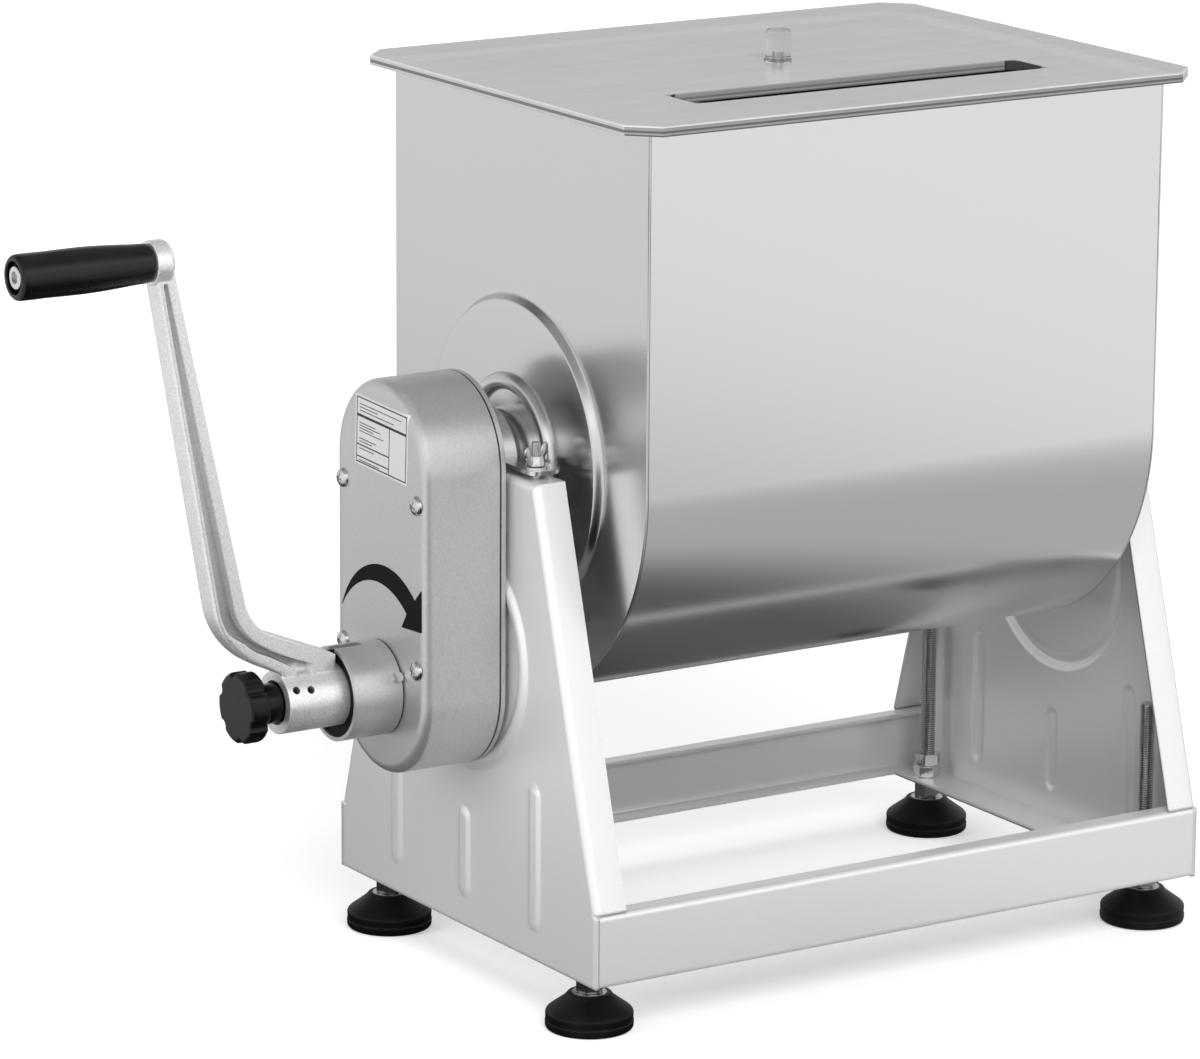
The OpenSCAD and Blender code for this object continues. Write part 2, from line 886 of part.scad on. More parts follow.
module idler_axle() {
    axle_end = gear_x + gear_w + free_gap;
    color("#8c8c8c") union() {
        rod_x(-axle_end - eps, 0, idler_z, axle_r, axle_end - cover_x + back_t);
        rod_x(-axle_end - axle_head_h, 0, idler_z, axle_head_r, axle_head_h);
    }
}

// A bare ruled plate on the front of the gearbox
module rating_plate() {
    color("#e8e8e8") translate([-face_x - sticker_t, plate_y, plate_z]) rotate([plate_turn, 0, 0])
        translate([0, -plate_w / 2, -plate_h / 2]) cube([sticker_t, plate_w, plate_h]);
}

// A curved arrow that shows which way to turn the crank, cut off at the bend of the face
module direction_arrow() {
    color("#101010") intersection() {
        along_x(-face_x - sticker_t, sticker_t) polygon(concat(
            [arrow_tail],
            arc(arrow_out_mid[0], arrow_out_mid[1], arrow_out_r, arrow_out_a[0], arrow_out_a[1],
                3 * arc_steps),
            arrow_head,
            arc(arrow_in_mid[0], arrow_in_mid[1], arrow_in_r, arrow_in_a[0], arrow_in_a[1],
                3 * arc_steps)));
        translate([-face_x - over, -arrow_head_y, crank_z])
            cube([2 * over, 2 * arrow_head_y, 2 * arrow_out_r]);
    }
}

// Involute of an angle, in degrees
function involute(a) = tan(a) * 180 / PI - a;

// Half the angle that a tooth fills at radius r
function tooth_half(r, base_r, pitch_half) =
    pitch_half + involute(pressure_angle) - involute(acos(min(1, base_r / r)));

// Points of one flank, from the root to the tip for dir 1 and back for dir -1
function flank(teeth, middle, dir) =
    let (
        pitch_r = gear_module * teeth / 2,
        base_r = pitch_r * cos(pressure_angle),
        root_r = pitch_r - tooth_root * gear_module,
        tip_r = pitch_r + tooth_tip * gear_module,
        pitch_half = 90 / teeth - backlash / pitch_r * 45 / PI,
        low_r = max(base_r, root_r),
        steps = [for (i = [0 : flank_steps]) low_r + (tip_r - low_r) * i / flank_steps],
        radii = concat([root_r - eps], steps),
        n = len(radii)
    )
    [for (i = [0 : n - 1])
        let (
            k = dir > 0 ? i : n - 1 - i,
            r = radii[k],
            a = middle - dir * tooth_half(max(r, low_r), base_r, pitch_half)
        )
        [r * sin(a), r * cos(a)]];

// Outline of a spur gear with a tooth at angle phase from +Z
module gear_outline(teeth, phase) {
    pitch = 360 / teeth;
    polygon([for (t = [0 : teeth - 1]) each concat(
        flank(teeth, phase + t * pitch, 1), flank(teeth, phase + t * pitch, -1))]);
}

module spur_gear(teeth, phase, z, bore_r, hub_r, hub_len) {
    difference() {
        union() {
            translate([0, 0, z]) along_x(-gear_x - gear_w, gear_w) gear_outline(teeth, phase);
            rod_x(-gear_x - eps, 0, z, hub_r, hub_len);
        }
        rod_x(-gear_x - gear_w - over, 0, z, bore_r, gear_w + hub_len + 2 * over);
    }
}

module pinion() {
    color("#a08040") spur_gear(pinion_teeth, 0, crank_z, input_r + fit_gap, pinion_hub_r,
        gear_x - cover_x - bush_len - free_gap);
}

module idler_gear() {
    color("#a08040") spur_gear(idler_teeth, idler_phase, idler_z, axle_r + fit_gap, idler_hub_r,
        gear_x - cover_x - free_gap);
}

module drive_gear() {
    color("#a08040") spur_gear(gear_teeth, gear_phase, shaft_z, shaft_r + fit_gap, gear_hub_r,
        gear_hub_len);
}

// Side outline of the crank arm, x outwards and z upwards
function arm_points() = concat(
    [[-collar_end_x - arm_clear, crank_z], [-collar_end_x - arm_clear, crank_z + arm_root_h]],
    arc(-knee_x, knee_z, knee_in_r, 270 - knee_low_a, 180 + 90 - knee_top_in_a, arc_steps),
    [[-eye_out_x + arm_top_w + over, grip_z], [-eye_out_x + over, grip_z]],
    arc(-knee_x, knee_z, knee_out_r, 180 + 90 - knee_top_out_a, 270 - knee_low_a, arc_steps),
    [[-hub_end_x, crank_z + hub_r - over], [-hub_end_x, crank_z]]);

// Pocket between the thin front flange and the rear flange of the arm
function pocket_points() = concat(
    [[-hub_end_x + 17, crank_z + hub_r], [-hub_end_x + 17.5, crank_z + hub_r + 3]],
    arc(-knee_x, knee_z, pocket_in_r, 270 - knee_low_a + 8, 180 + 90 - knee_top_in_a, arc_steps),
    [[-eye_out_x + pocket_top_in, grip_z - eye_r - pocket_top_gap],
        [-eye_out_x + pocket_top_out, grip_z - eye_r - pocket_top_gap]],
    arc(-knee_x, knee_z, knee_out_r - front_flange, 180 + 90 - knee_top_out_a, 210, arc_steps),
    arc(-knee_x, knee_z, pocket_out_r, 225, 270 - knee_low_a, arc_steps),
    [[-hub_end_x + 8.5, crank_z + hub_r]]);

// Draws an (X, Z) outline and extrudes it across the arm, centred on Y = 0
module across_arm(t) {
    rotate([90, 0, 0]) translate([0, 0, -t / 2]) linear_extrude(t) children();
}

// The eye at the top of the arm, rounded where it meets the arm
module crank_eye() {
    on_x_axis(-eye_out_x, 0, grip_z) rotate_extrude() polygon(concat(
        [[0, 0], [eye_r, 0]],
        arc(eye_r - eye_round, eye_len - eye_round, eye_round, 0, 90, arc_steps),
        [[0, eye_len]]));
}

module crank_arm() {
    color("#cfd0d1") difference() {
        union() {
            across_arm(arm_t) polygon(arm_points());
            rod_x(-hub_end_x, 0, crank_z, hub_r, hub_end_x - hub_in_x);
            crank_eye();
        }
        for (s = [-1, 1]) {
            translate([0, s * arm_t / 2, 0]) across_arm(2 * pocket_d) polygon(pocket_points());
        }
        rod_x(-hub_end_x - over, 0, crank_z, hub_recess_r, hub_recess_d + over);
        rod_x(-hub_end_x, 0, crank_z, input_r + fit_gap, hub_end_x - hub_in_x + over);
        rod_x(-eye_out_x - over, 0, grip_z, spindle_r + fit_gap, eye_len + 2 * over);
        for (i = [0, 1]) {
            translate([-hub_end_x + grub_hole_in[i], 0, crank_z])
                rotate([90 - grub_hole_a[i], 0, 0]) cylinder(r = grub_hole_r, h = hub_r + over);
        }
    }
}

module input_shaft() {
    color("#8e8e8e") difference() {
        rod_x(-input_end_x, 0, crank_z, input_r, input_end_x - input_in_x);
        rod_x(-input_end_x - over, 0, crank_z, knob_stud_r + fit_gap, knob_stud_hole + over);
    }
}

module grip_spindle() {
    head_x = grip_tip_x - grip_dish_d + free_gap;
    color("#d2d2d2") union() {
        rod_x(-head_x - spindle_head_h, 0, grip_z, spindle_head_r, spindle_head_h);
        rod_x(-head_x - eps, 0, grip_z, spindle_r, head_x - eye_in_x);
    }
}

// Tapered grip that spins on its spindle
module grip() {
    swell = grip_len * grip_swell;
    color("#141414") difference() {
        translate([-eye_out_x - free_gap, 0, grip_z]) rotate([0, -90, 0]) rotate_extrude()
            polygon(concat([[0, 0], [grip_root_r, 0], [grip_r, swell]],
                arc(grip_r - grip_edge_r, grip_len - grip_edge_r, grip_edge_r, 0, 90, arc_steps),
                [[0, grip_len]]));
        rod_x(-grip_tip_x - over, 0, grip_z, grip_bore_r, grip_len + 2 * over);
        rod_x(-grip_tip_x - over, 0, grip_z, grip_dish_r, grip_dish_d + over);
    }
}

// Lobed knob that holds the crank on the input shaft
module lobe_knob() {
    head_x = hub_end_x + knob_stem_out;
    notch_at = lobe_knob_r + lobe_notch_out;
    color("#101010") difference() {
        union() {
            difference() {
                rod_x(-head_x - lobe_knob_len, 0, crank_z, lobe_knob_r, lobe_knob_len);
                for (i = [0 : lobe_count - 1]) {
                    a = lobe_turn + i * 360 / lobe_count;
                    rod_x(-head_x - lobe_knob_len - over, -notch_at * sin(a),
                        crank_z + notch_at * cos(a), lobe_notch_r, lobe_knob_len + 2 * over);
                }
            }
            rod_x(-head_x - eps, 0, crank_z, knob_stem_r, head_x - knob_back_x);
        }
        rod_x(-head_x, 0, crank_z, knob_stud_r + fit_gap, head_x);
    }
}

module knob_stud() {
    color("#b0b0b0") rod_x(-hub_end_x - knob_stem_out + eps, 0, crank_z, knob_stud_r,
        knob_stem_out + knob_stud_deep);
}

// The U shaped sheet that makes the sides and bottom of the tank
module tank_wrap() {
    color("#cfd1d3") along_x(-wrap_half, 2 * wrap_half) difference() {
        tank_section(0);
        tank_section(tank_sheet);
    }
}

// Cross section of the tank, smaller all round by inset
module tank_section(inset) {
    r = tank_r - inset;
    union() {
        translate([0, shaft_z]) circle(r = r, $fn = 128);
        translate([-r, shaft_z]) square([2 * r, rim_z - shaft_z + (inset > 0 ? over : 0)]);
    }
}

// Revolved outline of the pressed disc, boss ring and neck seat
function dish_points(h) = concat(
    [[disc_r + 2, h], [disc_r, h], [disc_r - disc_slope, h + disc_h], [boss_r, h + disc_h]],
    arc(boss_r - boss_bead_r, h + disc_h, boss_bead_r, 20, 160, arc_steps),
    [[boss_lip_r, h + disc_h], [neck_r + fit_gap, h + disc_h]]);

function reversed(list) = [for (i = [len(list) - 1 : -1 : 0]) list[i]];

module tank_end() {
    color("#c8cacc") union() {
        difference() {
            along_x(-end_x, tank_sheet) tank_section(0);
            rod_x(-end_x - over, 0, shaft_z, disc_r + over, tank_sheet + 2 * over);
        }
        translate([-end_x, 0, shaft_z]) rotate([0, -90, 0]) rotate_extrude($fn = 128)
            polygon(concat(dish_points(0), reversed(dish_points(-tank_sheet))));
    }
}

module tank_end_left() {
    tank_end();
}

module tank_end_right() {
    on_right() tank_end();
}

module neck() {
    color("#d2d4d6") ring_x(-neck_end_x, shaft_z, neck_r, neck_in_r, neck_end_x - seal_x);
}

module neck_left() {
    neck();
}

module neck_right() {
    on_right() neck();
}

module shaft_bushes() {
    bush_x = seal_x + seal_len + fit_gap;
    color("#b08d4a") for (s = [0, 1]) {
        mirror([s, 0, 0]) ring_x(-neck_end_x, shaft_z, neck_in_r - fit_gap, shaft_r + fit_gap,
            neck_end_x - bush_x);
    }
}

module shaft_seals() {
    color("#202020") for (s = [0, 1]) {
        mirror([s, 0, 0]) ring_x(-seal_x - seal_len, shaft_z, neck_in_r - fit_gap,
            shaft_r + fit_gap, seal_len);
    }
}

module lid_panel() {
    hx = lid_len / 2;
    hy = lid_w / 2;
    c = lid_corner;
    color("#dfe5e6", 0.5) translate([0, 0, lid_z]) difference() {
        linear_extrude(lid_t) polygon([[-hx + c, -hy], [hx - c, -hy], [hx, -hy + c], [hx, hy - c],
            [hx - c, hy], [-hx + c, hy], [-hx, hy - c], [-hx, -hy + c]]);
        translate([0, -slot_off, -over]) linear_extrude(lid_t + 2 * over)
            rounded_rect(slot_len, slot_w, slot_corner);
        translate([0, 0, -over]) cylinder(r = lid_screw_r + fit_gap, h = lid_t + 2 * over);
    }
}

module lid_knob() {
    color("#e8eeee", 0.6) translate([0, 0, lid_top]) difference() {
        rotate_extrude() polygon([[0, 0], [knob_r + knob_base_r, 0],
            [knob_r + knob_base_r, knob_base_h], [knob_r, knob_base_h + knob_base_r],
            [knob_r, knob_h - knob_chamfer], [knob_r - knob_chamfer, knob_h], [0, knob_h]]);
        translate([0, 0, -over])
            cylinder(r = lid_screw_r + fit_gap, h = lid_screw_len - lid_t + 2 * over);
    }
}

module lid_knob_screw() {
    color("#c0c0c0") union() {
        translate([0, 0, lid_z - lid_screw_head_h])
            cylinder(r = lid_screw_head_r, h = lid_screw_head_h);
        translate([0, 0, lid_z - eps]) cylinder(r = lid_screw_r, h = lid_screw_len);
    }
}

module paddle_shaft() {
    color("#b6b8ba") rod_x(-shaft_out_x, 0, shaft_z, shaft_r, shaft_out_x + shaft_far_x);
}

// A paddle: split hub, round arm and an angled blade whose tip follows the tank
module paddle(index) {
    x = (index - (paddle_count + 1) / 2) * paddle_step;
    up = index % 2 == 0 ? 1 : -1;
    color("#b2b4b6") difference() {
        union() {
            rod_x(x - paddle_hub_len / 2, 0, shaft_z, paddle_hub_r, paddle_hub_len);
            translate([x, 0, shaft_z]) rotate([up > 0 ? 0 : 180, 0, 0])
                cylinder(r = paddle_arm_r, h = rotor_r - blade_mid);
            intersection() {
                rod_x(x - blade_len, 0, shaft_z, rotor_r, 2 * blade_len, $fn = 128);
                translate([x, 0, shaft_z + up * (rotor_r - blade_depth / 2 + over)])
                    rotate([0, 0, blade_angle * up]) cube([blade_len, blade_t, blade_depth], center = true);
            }
        }
        rod_x(x - paddle_hub_len, 0, shaft_z, shaft_r + fit_gap, 2 * paddle_hub_len);
    }
}

module paddle_1() {
    paddle(1);
}

module paddle_2() {
    paddle(2);
}

module paddle_3() {
    paddle(3);
}

module paddle_4() {
    paddle(4);
}

stand_plate_left();
stand_plate_right();
front_rail();
rear_rail();
cradle_left();
cradle_right();
clamp_studs();
strap_left();
strap_right();
clamp_washers();
foot_nuts();
gearbox_back_plate();
gearbox_cover();
gearbox_screws();
gearbox_posts();
gearbox_fixings();
crank_collar();
collar_liner();
collar_screw();
input_bush();
idler_axle();
rating_plate();
direction_arrow();
tank_wrap();
tank_end_left();
tank_end_right();
neck_left();
neck_right();
shaft_bushes();
shaft_seals();
lid_panel();
lid_knob();
lid_knob_screw();
crank_arm();
input_shaft();
pinion();
grip_spindle();
grip();
lobe_knob();
knob_stud();
idler_gear();
paddle_shaft();
drive_gear();
paddle_1();
paddle_2();
paddle_3();
paddle_4();
foot_pad_front_left();
foot_pad_front_right();
foot_pad_rear_left();
foot_pad_rear_right();
foot_stem_front_left();
foot_stem_front_right();
foot_stem_rear_left();
foot_stem_rear_right();
wing_nut_front_left();
wing_nut_front_right();
wing_nut_rear_left();
wing_nut_rear_right();
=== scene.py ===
"""Looks of a hand cranked meat mixer, dressed onto its fixed construction.

Lengths are in millimetres until a mesh is made, where MM turns them into metres. The
frame is the construction's own: X along the paddle shaft with the crank at -X, the
broad front at -Y, Z up, and the origin on the floor midway between the feet.
"""
import logging
import math
from dataclasses import dataclass
from enum import Enum
from typing import Iterable, Sequence, Union

import bmesh
import bpy
import numpy as np
from mathutils import Matrix, Vector


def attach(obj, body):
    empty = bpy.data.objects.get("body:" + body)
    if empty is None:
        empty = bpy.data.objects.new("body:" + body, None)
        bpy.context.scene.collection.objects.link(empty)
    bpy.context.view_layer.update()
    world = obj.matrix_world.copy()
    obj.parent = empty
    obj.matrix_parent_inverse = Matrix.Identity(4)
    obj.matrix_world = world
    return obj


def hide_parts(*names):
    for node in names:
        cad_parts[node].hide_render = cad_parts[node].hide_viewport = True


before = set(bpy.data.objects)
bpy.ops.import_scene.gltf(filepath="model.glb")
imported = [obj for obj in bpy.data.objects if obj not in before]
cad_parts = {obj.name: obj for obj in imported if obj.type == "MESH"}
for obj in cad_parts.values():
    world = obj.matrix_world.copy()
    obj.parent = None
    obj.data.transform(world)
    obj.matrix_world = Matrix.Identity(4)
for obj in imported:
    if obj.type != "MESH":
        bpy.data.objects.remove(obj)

LOG = logging.getLogger("meat_mixer")
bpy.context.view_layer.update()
MM = 0.001
TAU = 2 * math.pi
Number = Union[int, float]
Points = np.ndarray
Colour = tuple[float, float, float]

# Heights that several assemblies share
SHAFT_Z = 271.5
CRANK_Z = 161.5
RIM_Z = 452.7

# The corners of the stand, with the side of each along X and along Y
CORNERS = (("front_left", -1, -1), ("front_right", 1, -1), ("rear_left", -1, 1), ("rear_right", 1, 1))


def grey(level: float) -> Colour:
    """Gives a neutral colour."""
    return (level, level, level)


class Channel:
    """A shader socket that takes part in Python arithmetic."""

    def __init__(self, tree: "ShaderTree", socket: bpy.types.NodeSocket) -> None:
        """Holds the socket and the tree that it belongs to."""
        self.tree = tree
        self.socket = socket

    def _math(self, operation: str, first: "Feed", second: "Feed" = 0.0) -> "Channel":
        """Adds one Math node and gives its result."""
        return self.tree.make("ShaderNodeMath", {"operation": operation}, {0: first, 1: second})

    def __add__(self, other: "Feed") -> "Channel":
        """Gives self + other."""
        return self._math("ADD", self, other)

    def __radd__(self, other: "Feed") -> "Channel":
        """Gives other + self."""
        return self._math("ADD", other, self)

    def __sub__(self, other: "Feed") -> "Channel":
        """Gives self - other."""
        return self._math("SUBTRACT", self, other)

    def __rsub__(self, other: "Feed") -> "Channel":
        """Gives other - self."""
        return self._math("SUBTRACT", other, self)

    def __mul__(self, other: "Feed") -> "Channel":
        """Gives self * other."""
        return self._math("MULTIPLY", self, other)

    def __rmul__(self, other: "Feed") -> "Channel":
        """Gives other * self."""
        return self._math("MULTIPLY", other, self)

    def __truediv__(self, other: "Feed") -> "Channel":
        """Gives self / other."""
        return self._math("DIVIDE", self, other)

    def __rtruediv__(self, other: "Feed") -> "Channel":
        """Gives other / self."""
        return self._math("DIVIDE", other, self)

    def __pow__(self, other: "Feed") -> "Channel":
        """Gives self to the power of other."""
        return self._math("POWER", self, other)

    def __abs__(self) -> "Channel":
        """Gives the size of self without its sign."""
        return self._math("ABSOLUTE", self)

    def above(self, level: "Feed") -> "Channel":
        """Gives 1 where self is over level and 0 elsewhere."""
        return self._math("GREATER_THAN", self, level)

    def below(self, level: "Feed") -> "Channel":
        """Gives 1 where self is under level and 0 elsewhere."""
        return self._math("LESS_THAN", self, level)

    def fade(self, start: float, end: float) -> "Channel":
        """Gives a smooth step from 0 at start to 1 at end, which may lie below start."""
        inputs = {"Value": self, "From Min": start, "From Max": end}
        return self.tree.make("ShaderNodeMapRange", {"interpolation_type": "SMOOTHSTEP"}, inputs)


Feed = Union[Channel, Number, Sequence[float]]


class ShaderTree:
    """The node tree of one material, with a short way to add any node."""

    def __init__(self, owner: Union[bpy.types.Material, bpy.types.World]) -> None:
        """Clears the owner's nodes.

        Args:
            owner: The material or world whose nodes are made.
        """
        owner.use_nodes = True
        self.nodes = owner.node_tree.nodes
        self.links = owner.node_tree.links
        self.nodes.clear()
        self.is_world = isinstance(owner, bpy.types.World)

    def feed(self, socket: bpy.types.NodeSocket, value: Feed) -> None:
        """Links a channel to a socket, or sets the socket's own value."""
        if isinstance(value, Channel):
            self.links.new(value.socket, socket)
        elif socket.type == "RGBA":
            socket.default_value = (*value[:3], 1.0)
        else:
            socket.default_value = value

    def make(self, kind: str, settings: dict | None = None, inputs: dict | None = None,
             output: int | str = 0) -> Channel:
        """Adds a node of any kind.

        Args:
            kind: The node's type name.
            settings: Node settings by name, made before the inputs.
            inputs: Values or channels by socket name or number.
            output: The output socket to give back.

        Returns:
            The chosen output as a channel.
        """
        node = self.nodes.new(kind)
        for key, value in (settings or {}).items():
            setattr(node, key, value)
        for key, value in (inputs or {}).items():
            self.feed(node.inputs[key], value)
        return Channel(self, node.outputs[output])

    def place(self) -> Channel:
        """Gives the piece's own coordinates, in metres."""
        return self.make("ShaderNodeTexCoord", output="Object")

    def axes(self, vector: Channel) -> tuple[Channel, Channel, Channel]:
        """Splits a vector into its three parts."""
        first = self.make("ShaderNodeSeparateXYZ", None, {0: vector})
        node = first.socket.node
        return tuple(Channel(self, output) for output in node.outputs)

    def axes_mm(self, place: Channel) -> tuple[Channel, Channel, Channel]:
        """Splits a place in metres into its X, Y and Z in millimetres."""
        return self.axes(self.scaled(place, (1 / MM, 1 / MM, 1 / MM)))

    def rays(self) -> tuple[Channel, Channel]:
        """Tells rays apart by what they show.

        Returns:
            1 for what the camera sees, also through clear pieces, and 1 for what a
            glossy surface mirrors.
        """
        camera = self.make("ShaderNodeLightPath", output="Is Camera Ray")
        outputs = camera.socket.node.outputs
        seen = (camera + Channel(self, outputs["Is Transmission Ray"])).above(0.5)
        return seen, Channel(self, outputs["Is Glossy Ray"])

    def scaled(self, vector: Channel, factors: Sequence[float]) -> Channel:
        """Stretches a vector by a factor along each axis."""
        return self.make("ShaderNodeVectorMath", {"operation": "MULTIPLY"}, {0: vector, 1: factors})

    def noise(self, vector: Channel, scale: float, detail: float = 3.0,
              roughness: float = 0.5) -> Channel:
        """Gives smooth noise between about 0 and 1."""
        inputs = {"Vector": vector, "Scale": scale, "Detail": detail, "Roughness": roughness}
        return self.make("ShaderNodeTexNoise", None, inputs)

    def mix(self, amount: Feed, first: Feed, second: Feed) -> Channel:
        """Blends two colours by an amount from 0 to 1."""
        settings = {"data_type": "RGBA"}
        return self.make("ShaderNodeMix", settings, {0: amount, 6: first, 7: second}, output=2)

    def tint(self, colour: Colour, level: Channel) -> Channel:
        """Multiplies a colour by a level near 1."""
        settings = {"operation": "SCALE"}
        return self.make("ShaderNodeVectorMath", settings, {0: colour, "Scale": level})

    def bumped(self, height: Channel, depth_mm: float, edge_mm: float) -> Channel:
        """Turns a height into a normal, over edges rounded by a small radius.

        Args:
            height: Height between 0 and 1.
            depth_mm: What a height of 1 stands for.
            edge_mm: Radius that softens sharp edges, or 0.

        Returns:
            The normal.
        """
        inputs: dict = {"Height": height, "Distance": depth_mm * MM, "Strength": 1.0}
        if edge_mm > 0:
            inputs["Normal"] = self.make("ShaderNodeBevel", {"samples": 4}, {0: edge_mm * MM})
        return self.make("ShaderNodeBump", None, inputs)

    def surface(self, shader: Channel) -> None:
        """Connects a shader to the output."""
        kind = "ShaderNodeOutputWorld" if self.is_world else "ShaderNodeOutputMaterial"
        node = self.nodes.new(kind)
        self.links.new(shader.socket, node.inputs["Surface"])


@dataclass(frozen=True)
class Finish:
    """What all finishes share: a name and a radius that softens sharp edges."""

    label: str
    edge: float = 0.35

    def inputs(self, tree: ShaderTree) -> dict[str, Feed]:
        """Adds the nodes of the finish and gives what they feed to its shader."""
        raise NotImplementedError

    def material(self) -> bpy.types.Material:
        """Gives the material of this finish, made on first use."""
        name = self.label + "_finish"
        made = bpy.data.materials.get(name)
        if made is None:
            made = bpy.data.materials.new(name)
            tree = ShaderTree(made)
            tree.surface(tree.make("ShaderNodeBsdfPrincipled", None, self.inputs(tree)))
        return made


class Grain(Enum):
    """Direction that a sheet was brushed in."""

    ALONG_X = (0.002, 1.0, 1.0)
    ALONG_Z = (1.0, 1.0, 0.002)
    ROUND_X = (1.0, 0.03, 0.03)


@dataclass(frozen=True)
class BrushedSteel(Finish):
    """Stainless sheet with fine lines along one direction and faint broad bands."""

    grain: Grain = Grain.ALONG_X
    level: float = 0.74
    roughness: float = 0.3
    line_depth: float = 0.012
    line_share: float = 0.05
    anisotropy: float = 0.45
    line_scale: float = 1900.0
    band_scale: float = 130.0
    cloud_scale: float = 9.0

    def inputs(self, tree: ShaderTree) -> dict[str, Feed]:
        """Adds brushed lines to a metal."""
        place = tree.place()
        along = tree.scaled(place, self.grain.value)
        fine = tree.noise(along, self.line_scale, 2.0, 0.7)
        broad = tree.noise(along, self.band_scale, 3.0, 0.6)
        cloud = tree.noise(place, self.cloud_scale, 2.0)
        lines = fine * 0.85 + broad * 0.15
        level = 1 - self.line_share + lines * (2 * self.line_share)
        return {
            "Base Color": tree.tint(grey(self.level), level),
            "Metallic": 1.0,
            "Roughness": self.roughness - 0.03 + fine * 0.04 + cloud * 0.02,
            "Anisotropic": self.anisotropy,
            "Normal": tree.bumped(fine, self.line_depth, self.edge),
        }


@dataclass(frozen=True)
class SilverPaint(Finish):
    """Silver coat on sheet steel: fine flakes, a soft orange peel and painted shade in joints along X."""

    level: float = 0.7
    metallic: float = 0.55
    roughness: float = 0.42
    grain_scale: float = 1400.0
    grain_depth: float = 0.02
    flake_share: float = 0.06
    peel_depth: float = 0.03
    peel_scale: float = 260.0
    cloud_scale: float = 14.0
    coat: float = 0.25
    coat_roughness: float = 0.3
    # Painted shade in joints: a low and a high X for each, and how dark it gets
    joint_shades: tuple[tuple[float, float], ...] = ()
    joint_shade_share: float = 0.93

    def inputs(self, tree: ShaderTree) -> dict[str, Feed]:
        """Adds flakes, peel and the painted shade of the joints to a paint."""
        place = tree.place()
        x, _, _ = tree.axes_mm(place)
        flakes = tree.noise(place, self.grain_scale, 2.0, 0.7)
        peel = tree.noise(place, self.peel_scale, 1.0)
        cloud = tree.noise(place, self.cloud_scale, 3.0)
        level = 1 - self.flake_share + flakes * (1.6 * self.flake_share) + cloud * (0.4 * self.flake_share)
        # Painted shade in each joint, between its low and high X
        for low, high in self.joint_shades:
            level = level * (1 - x.above(low) * x.below(high) * self.joint_shade_share)
        height = flakes * (self.grain_depth / self.peel_depth) + peel
        return {
            "Base Color": tree.tint(grey(self.level), level),
            "Metallic": self.metallic,
            "Roughness": self.roughness - 0.05 + cloud * 0.06 + flakes * 0.05,
            "Coat Weight": self.coat,
            "Coat Roughness": self.coat_roughness,
            "Normal": tree.bumped(height, self.peel_depth, self.edge),
        }


@dataclass(frozen=True)
class CastMetal(Finish):
    """Bright cast aluminium with a sparkling grain, and painted shade where the mesh marks a hole or pocket.
    """

    level: float = 0.96
    roughness: float = 0.3
    grain_scale: float = 800.0
    grain_depth: float = 0.1
    recess_shade_share: float = 0.96
    lump_scale: float = 190.0
    metallic: float = 0.8

    def inputs(self, tree: ShaderTree) -> dict[str, Feed]:
        """Adds a cast grain to a metal and paints shade into its holes and pockets."""
        place = tree.place()
        grain = tree.noise(place, self.grain_scale, 3.0, 0.65)
        lumps = tree.noise(place, self.lump_scale, 2.0)
        speck = grain.fade(0.36, 0.62)
        # Painted shade in the grub holes and on the pocket floors, as marked on the mesh
        recess_shade = tree.make("ShaderNodeAttribute", {"attribute_name": "recess_shade"}, output="Fac")
        level = (0.86 + speck * 0.16 + lumps * 0.04) * (1 - recess_shade * self.recess_shade_share)
        return {
            "Base Color": tree.tint(grey(self.level), level),
            "Metallic": self.metallic,
            "Roughness": self.roughness + grain * 0.14,
            "Normal": tree.bumped(grain * 0.7 + lumps * 0.3, self.grain_depth, self.edge),
        }


@dataclass(frozen=True)
class PlatedSteel(Finish):
    """Zinc plated or machined steel with a cloudy, slightly uneven shine."""

    colour: Colour = (0.66, 0.66, 0.65)
    roughness: float = 0.28
    cloud_share: float = 0.16
    cloud_scale: float = 420.0
    pit_scale: float = 1700.0
    pit_depth: float = 0.006

    def inputs(self, tree: ShaderTree) -> dict[str, Feed]:
        """Adds clouds and fine pits to a metal."""
        place = tree.place()
        cloud = tree.noise(place, self.cloud_scale, 2.0)
        pits = tree.noise(place, self.pit_scale, 2.0)
        level = 1 - self.cloud_share / 2 + cloud * self.cloud_share
        return {
            "Base Color": tree.tint(self.colour, level),
            "Metallic": 1.0,
            "Roughness": self.roughness - 0.03 + cloud * 0.08,
            "Normal": tree.bumped(pits, self.pit_depth, self.edge),
        }


@dataclass(frozen=True)
class MouldedBlack(Finish):
    """Black plastic or rubber with a spark eroded skin and paler rubbed patches."""

    level: float = 0.003
    roughness: float = 0.42
    skin_depth: float = 0.03
    dust: float = 0.002
    shine: float = 0.25
    skin_scale: float = 1500.0
    cloud_scale: float = 55.0

    def inputs(self, tree: ShaderTree) -> dict[str, Feed]:
        """Adds a moulded skin to a black."""
        place = tree.place()
        skin = tree.noise(place, self.skin_scale, 2.0)
        cloud = tree.noise(place, self.cloud_scale, 3.0)
        level = tree.mix(cloud.fade(0.45, 0.75), grey(self.level), grey(self.level + self.dust))
        return {
            "Base Color": level,
            "Roughness": self.roughness - 0.06 + cloud * 0.08 + skin * 0.06,
            "Specular IOR Level": self.shine,
            "Normal": tree.bumped(skin, self.skin_depth, self.edge),
        }


